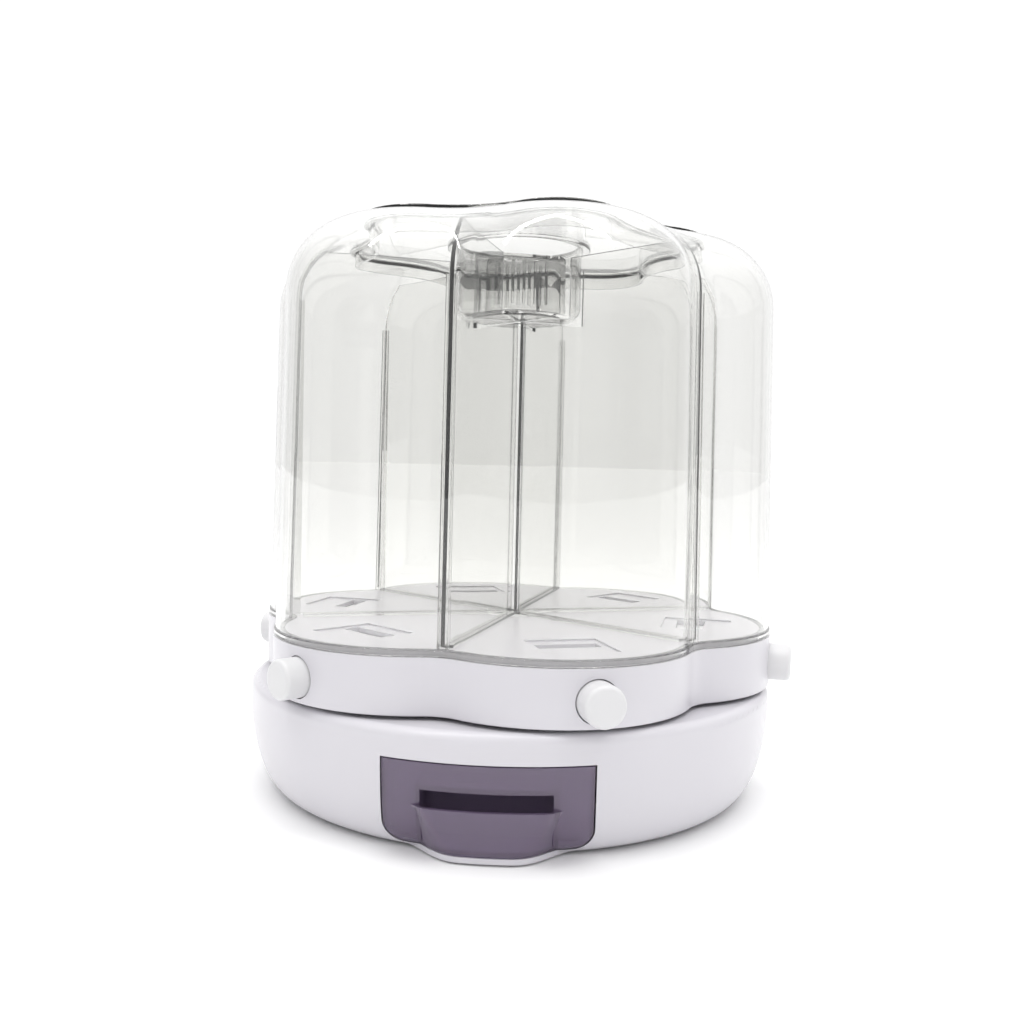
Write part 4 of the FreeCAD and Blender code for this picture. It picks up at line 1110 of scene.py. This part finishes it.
@dataclass
class Base:
    """Bowl, bottom cover, deck, spindle, feet, pads, runners and their screws."""

    screw_radius: float = 120.6
    plate_seat_z: float = 3.0
    deck_top_z: float = 61.4
    screw_turn: float = 30.0
    foot_radius: float = 112.2
    foot_dia: float = 18.0
    foot_height: float = 2.4
    foot_turn: float = 0.0
    foot_steps: int = 48
    pad_radius: float = 92.0
    pad_turn: float = 15.0
    pad_length: float = 26.0
    pad_width: float = 10.0
    pad_top_z: float = 67.4
    pad_sunk: float = 1.2

    def foot(self) -> bpy.types.Mesh:
        """One rubber foot with a shallow ring in its sole."""
        r, top = self.foot_dia / 2, self.foot_height
        sole = [(0, 0.35), (r * 0.45, 0.35), (r * 0.5, 0.0), (r - 0.8, 0.0), (r - 0.25, 0.25), (r, 0.8),
                (r, top - 0.1), (r - 0.1, top), (0, top)]
        return turned_mesh("foot", sole, self.foot_steps, (0.0, -self.foot_radius))

    def pad(self) -> bpy.types.Mesh:
        """One low-friction pad with eased edges."""
        half = self.pad_width / 2
        low, high = self.deck_top_z - self.pad_sunk, self.pad_top_z
        edge = rounded([(self.pad_radius - half, low, 0), (self.pad_radius + half, low, 0),
                        (self.pad_radius + half, high, 1.0), (self.pad_radius - half, high, 1.0)])
        return plate_mesh("pad", edge, self.pad_length, 0.5)

    def build(self, tools: Tools, finishes: Finishes) -> None:
        """Build the repeated parts and dress the rest."""
        body = Body.BASE.value
        feet = tools.ring.place("base_feet", self.foot(), finishes.foot_rubber, self.foot_turn)
        mount(feet, body, "foot_rubber", "rubber_feet")
        pads = tools.ring.place("base_glide_pads", self.pad(), finishes.nylon, self.pad_turn)
        mount(pads, body, "glide_nylon", "glide_pads")
        lower = Screw(self.screw_radius, self.plate_seat_z, head_up=False).mesh()
        covers = tools.ring.place("base_cover_screws", lower, finishes.zinc, self.screw_turn)
        mount(covers, body, "screw_steel", "base_plate_screws")
        upper = Screw(self.screw_radius, self.deck_top_z).mesh()
        decks = tools.ring.place("base_deck_screws", upper, finishes.zinc, self.screw_turn)
        mount(decks, body, "screw_steel", "deck_screws")
        dress("base_shell", finishes.gloss_abs)
        for node in ("base_plate", "turntable_deck", "drawer_runner_left", "drawer_runner_right"):
            dress(node, finishes.inner_abs)
        for node in ("spindle_washer", "spindle_screw", "runner_screws"):
            dress(node, finishes.zinc)
        dress("spindle", finishes.turned_steel)


@dataclass
class Drawer:
    """Smoke-violet drawer: curved front with its pull, and the box behind it."""

    def build(self, finishes: Finishes) -> None:
        """Dress the front and the box."""
        dress("drawer_front", finishes.smoke_styrene)
        dress("drawer_tray", finishes.smoke_styrene)


@dataclass
class Carousel:
    """Lobed tray, underplate, bearing, hatches, buttons and their screws."""

    screw_radius: float = 112.3
    screw_seat_z: float = 68.9
    outline: LobedOutline = LobedOutline()

    def build(self, tools: Tools, finishes: Finishes) -> None:
        """Build the screws and dress the rest."""
        dress("carousel_tray", finishes.gloss_abs)
        for node in ("carousel_underplate", "hub_cap"):
            dress(node, finishes.inner_abs)
        dress("hub_bush", finishes.bronze)
        for number in range(1, self.outline.lobes + 1):
            dress("button_%d" % number, finishes.button_abs)
            dress("shutter_%d" % number, finishes.inner_abs)
        screw = Screw(self.screw_radius, self.screw_seat_z, head_up=False).mesh()
        screws = tools.ring.place("carousel_cover_screws", screw, finishes.zinc,
                                  self.outline.valley_turn)
        mount(screws, Body.CAROUSEL.value, "screw_steel", "underplate_screws")


# ---- Studio --------------------------------------------------------------------


@dataclass(frozen=True)
class Lamp:
    """A soft rectangular lamp aimed at a point."""

    name: str
    place: tuple[float, float, float]
    aim: tuple[float, float, float]
    size: tuple[float, float]
    watts: float

    def build(self) -> None:
        """Put the lamp in the scene."""
        data = bpy.data.lights.new(self.name, "AREA")
        data.shape = "RECTANGLE"
        data.size, data.size_y = self.size
        data.energy = self.watts
        lamp = in_scene(self.name, data)
        lamp.location = self.place
        way = Vector(self.aim) - Vector(self.place)
        lamp.rotation_euler = way.to_track_quat("-Z", "Y").to_euler()


@dataclass
class Studio:
    """Pale floor, soft light all round and the camera. Lengths are in metres."""

    camera_place: tuple[float, float, float] = (0.0407, -0.6117, 0.1907)
    yaw: float = 0.112
    pitch: float = 2.817
    roll: float = 1.33
    lens: float = 35.01
    floor_half: float = 60.0
    surround: float = 1.08
    front_surround: float = 0.62
    side_share: float = 0.55
    zenith: float = 0.48

    def build(self) -> None:
        """Build the floor, surround, lamps and camera."""
        self.build_floor()
        self.build_surround()
        for lamp in (
            Lamp("overhead_softbox", (0.0, 0.05, 1.9), (0.0, 0.0, 0.0), (2.2, 1.8), 8.0),
            Lamp("left_ceiling_strip", (-0.24, -0.25, 1.1), (0.0, 0.0, 0.25), (0.03, 0.9), 1.7),
            Lamp("right_ceiling_strip", (0.3, -0.25, 1.1), (0.0, 0.0, 0.25), (0.03, 0.9), 1.7),
        ):
            lamp.build()
        self.build_camera()

    def build_floor(self) -> None:
        """Lay a wide plain floor."""
        half = self.floor_half
        mesh = bpy.data.meshes.new("floor")
        mesh.from_pydata([(-half, -half, 0), (half, -half, 0), (half, half, 0), (-half, half, 0)],
                         [], [(0, 1, 2, 3)])
        floor = in_scene("floor", mesh)
        paint = MouldedPlastic("seamless_paper", colour="#fbfbfb", shade="#f8f8f8", rough_low=0.75,
                               rough_high=0.85, flow_mm=400.0, skin_mm=4.0, ior=1.4)
        floor.data.materials.append(paint.build())

    def build_surround(self) -> None:
        """Light from all round, strongest overhead and weakest from the front."""
        world = bpy.data.worlds.new("soft_surround")
        world.use_nodes = True
        tree = world.node_tree
        tree.nodes.clear()
        way = add_node(tree, "ShaderNodeTexCoord").outputs["Generated"]
        parts = add_node(tree, "ShaderNodeSeparateXYZ", None, {0: way})
        level = add_node(tree, "ShaderNodeMapRange", {"interpolation_type": "SMOOTHSTEP"},
                         {"Value": parts.outputs["Y"], "From Min": -0.9, "From Max": 0.1,
                          "To Min": self.front_surround, "To Max": self.surround})
        above = add_node(tree, "ShaderNodeMapRange", {"interpolation_type": "SMOOTHSTEP"},
                         {"Value": parts.outputs["Z"], "From Min": 0.25, "From Max": 1.0,
                          "To Min": 0.0, "To Max": self.zenith})
        across = add_node(tree, "ShaderNodeMath", {"operation": "ABSOLUTE"}, {0: parts.outputs["X"]})
        flank = add_node(tree, "ShaderNodeMapRange", {"interpolation_type": "SMOOTHSTEP"},
                         {"Value": across.outputs["Value"], "From Min": 0.55, "From Max": 0.95,
                          "To Min": 1.0, "To Max": self.side_share})
        dimmed = add_node(tree, "ShaderNodeMath", {"operation": "MULTIPLY"},
                          {0: level.outputs["Result"], 1: flank.outputs["Result"]})
        total = add_node(tree, "ShaderNodeMath", {"operation": "ADD"},
                         {0: dimmed.outputs["Value"], 1: above.outputs["Result"]})
        glow = add_node(tree, "ShaderNodeBackground", None,
                        {"Color": (1.0, 1.0, 1.0, 1.0), "Strength": total.outputs["Value"]})
        add_node(tree, "ShaderNodeOutputWorld", None, {"Surface": glow.outputs["Background"]})
        bpy.context.scene.world = world

    def build_camera(self) -> None:
        """Place the camera by its yaw off the spindle, its pitch down and its roll."""
        place = Vector(self.camera_place)
        level = Vector((-place.x, -place.y, 0.0)).normalized()
        level.rotate(Matrix.Rotation(math.radians(self.yaw), 3, "Z"))
        pitch = math.radians(self.pitch)
        ahead = level * math.cos(pitch) - Vector((0, 0, math.sin(pitch)))
        right = ahead.cross(Vector((0, 0, 1))).normalized()
        up = right.cross(ahead)
        roll = math.radians(self.roll)
        rolled_right = right * math.cos(roll) + up * math.sin(roll)
        rolled_up = up * math.cos(roll) - right * math.sin(roll)
        turn = Matrix((rolled_right, rolled_up, -ahead)).transposed().to_4x4()
        data = bpy.data.cameras.new("camera")
        data.lens = self.lens
        data.sensor_width = 36.0
        data.clip_start = 0.01
        camera = in_scene("camera", data)
        camera.matrix_world = Matrix.Translation(place) @ turn
        bpy.context.scene.camera = camera


def main() -> None:
    """Build the dispenser's looks and the studio."""
    logging.basicConfig(level=logging.INFO, format="%(name)s: %(message)s")
    tools = Tools()
    finishes = Finishes()
    Base().build(tools, finishes)
    Drawer().build(finishes)
    Carousel().build(tools, finishes)
    ReturnSprings().build(tools, finishes)
    Canister().build(tools, finishes)
    Partition().build(tools, finishes)
    Lid().build(tools, finishes)
    Studio().build()
    bpy.context.scene.view_settings.view_transform = "Standard"


if __name__ == "__main__":
    main()
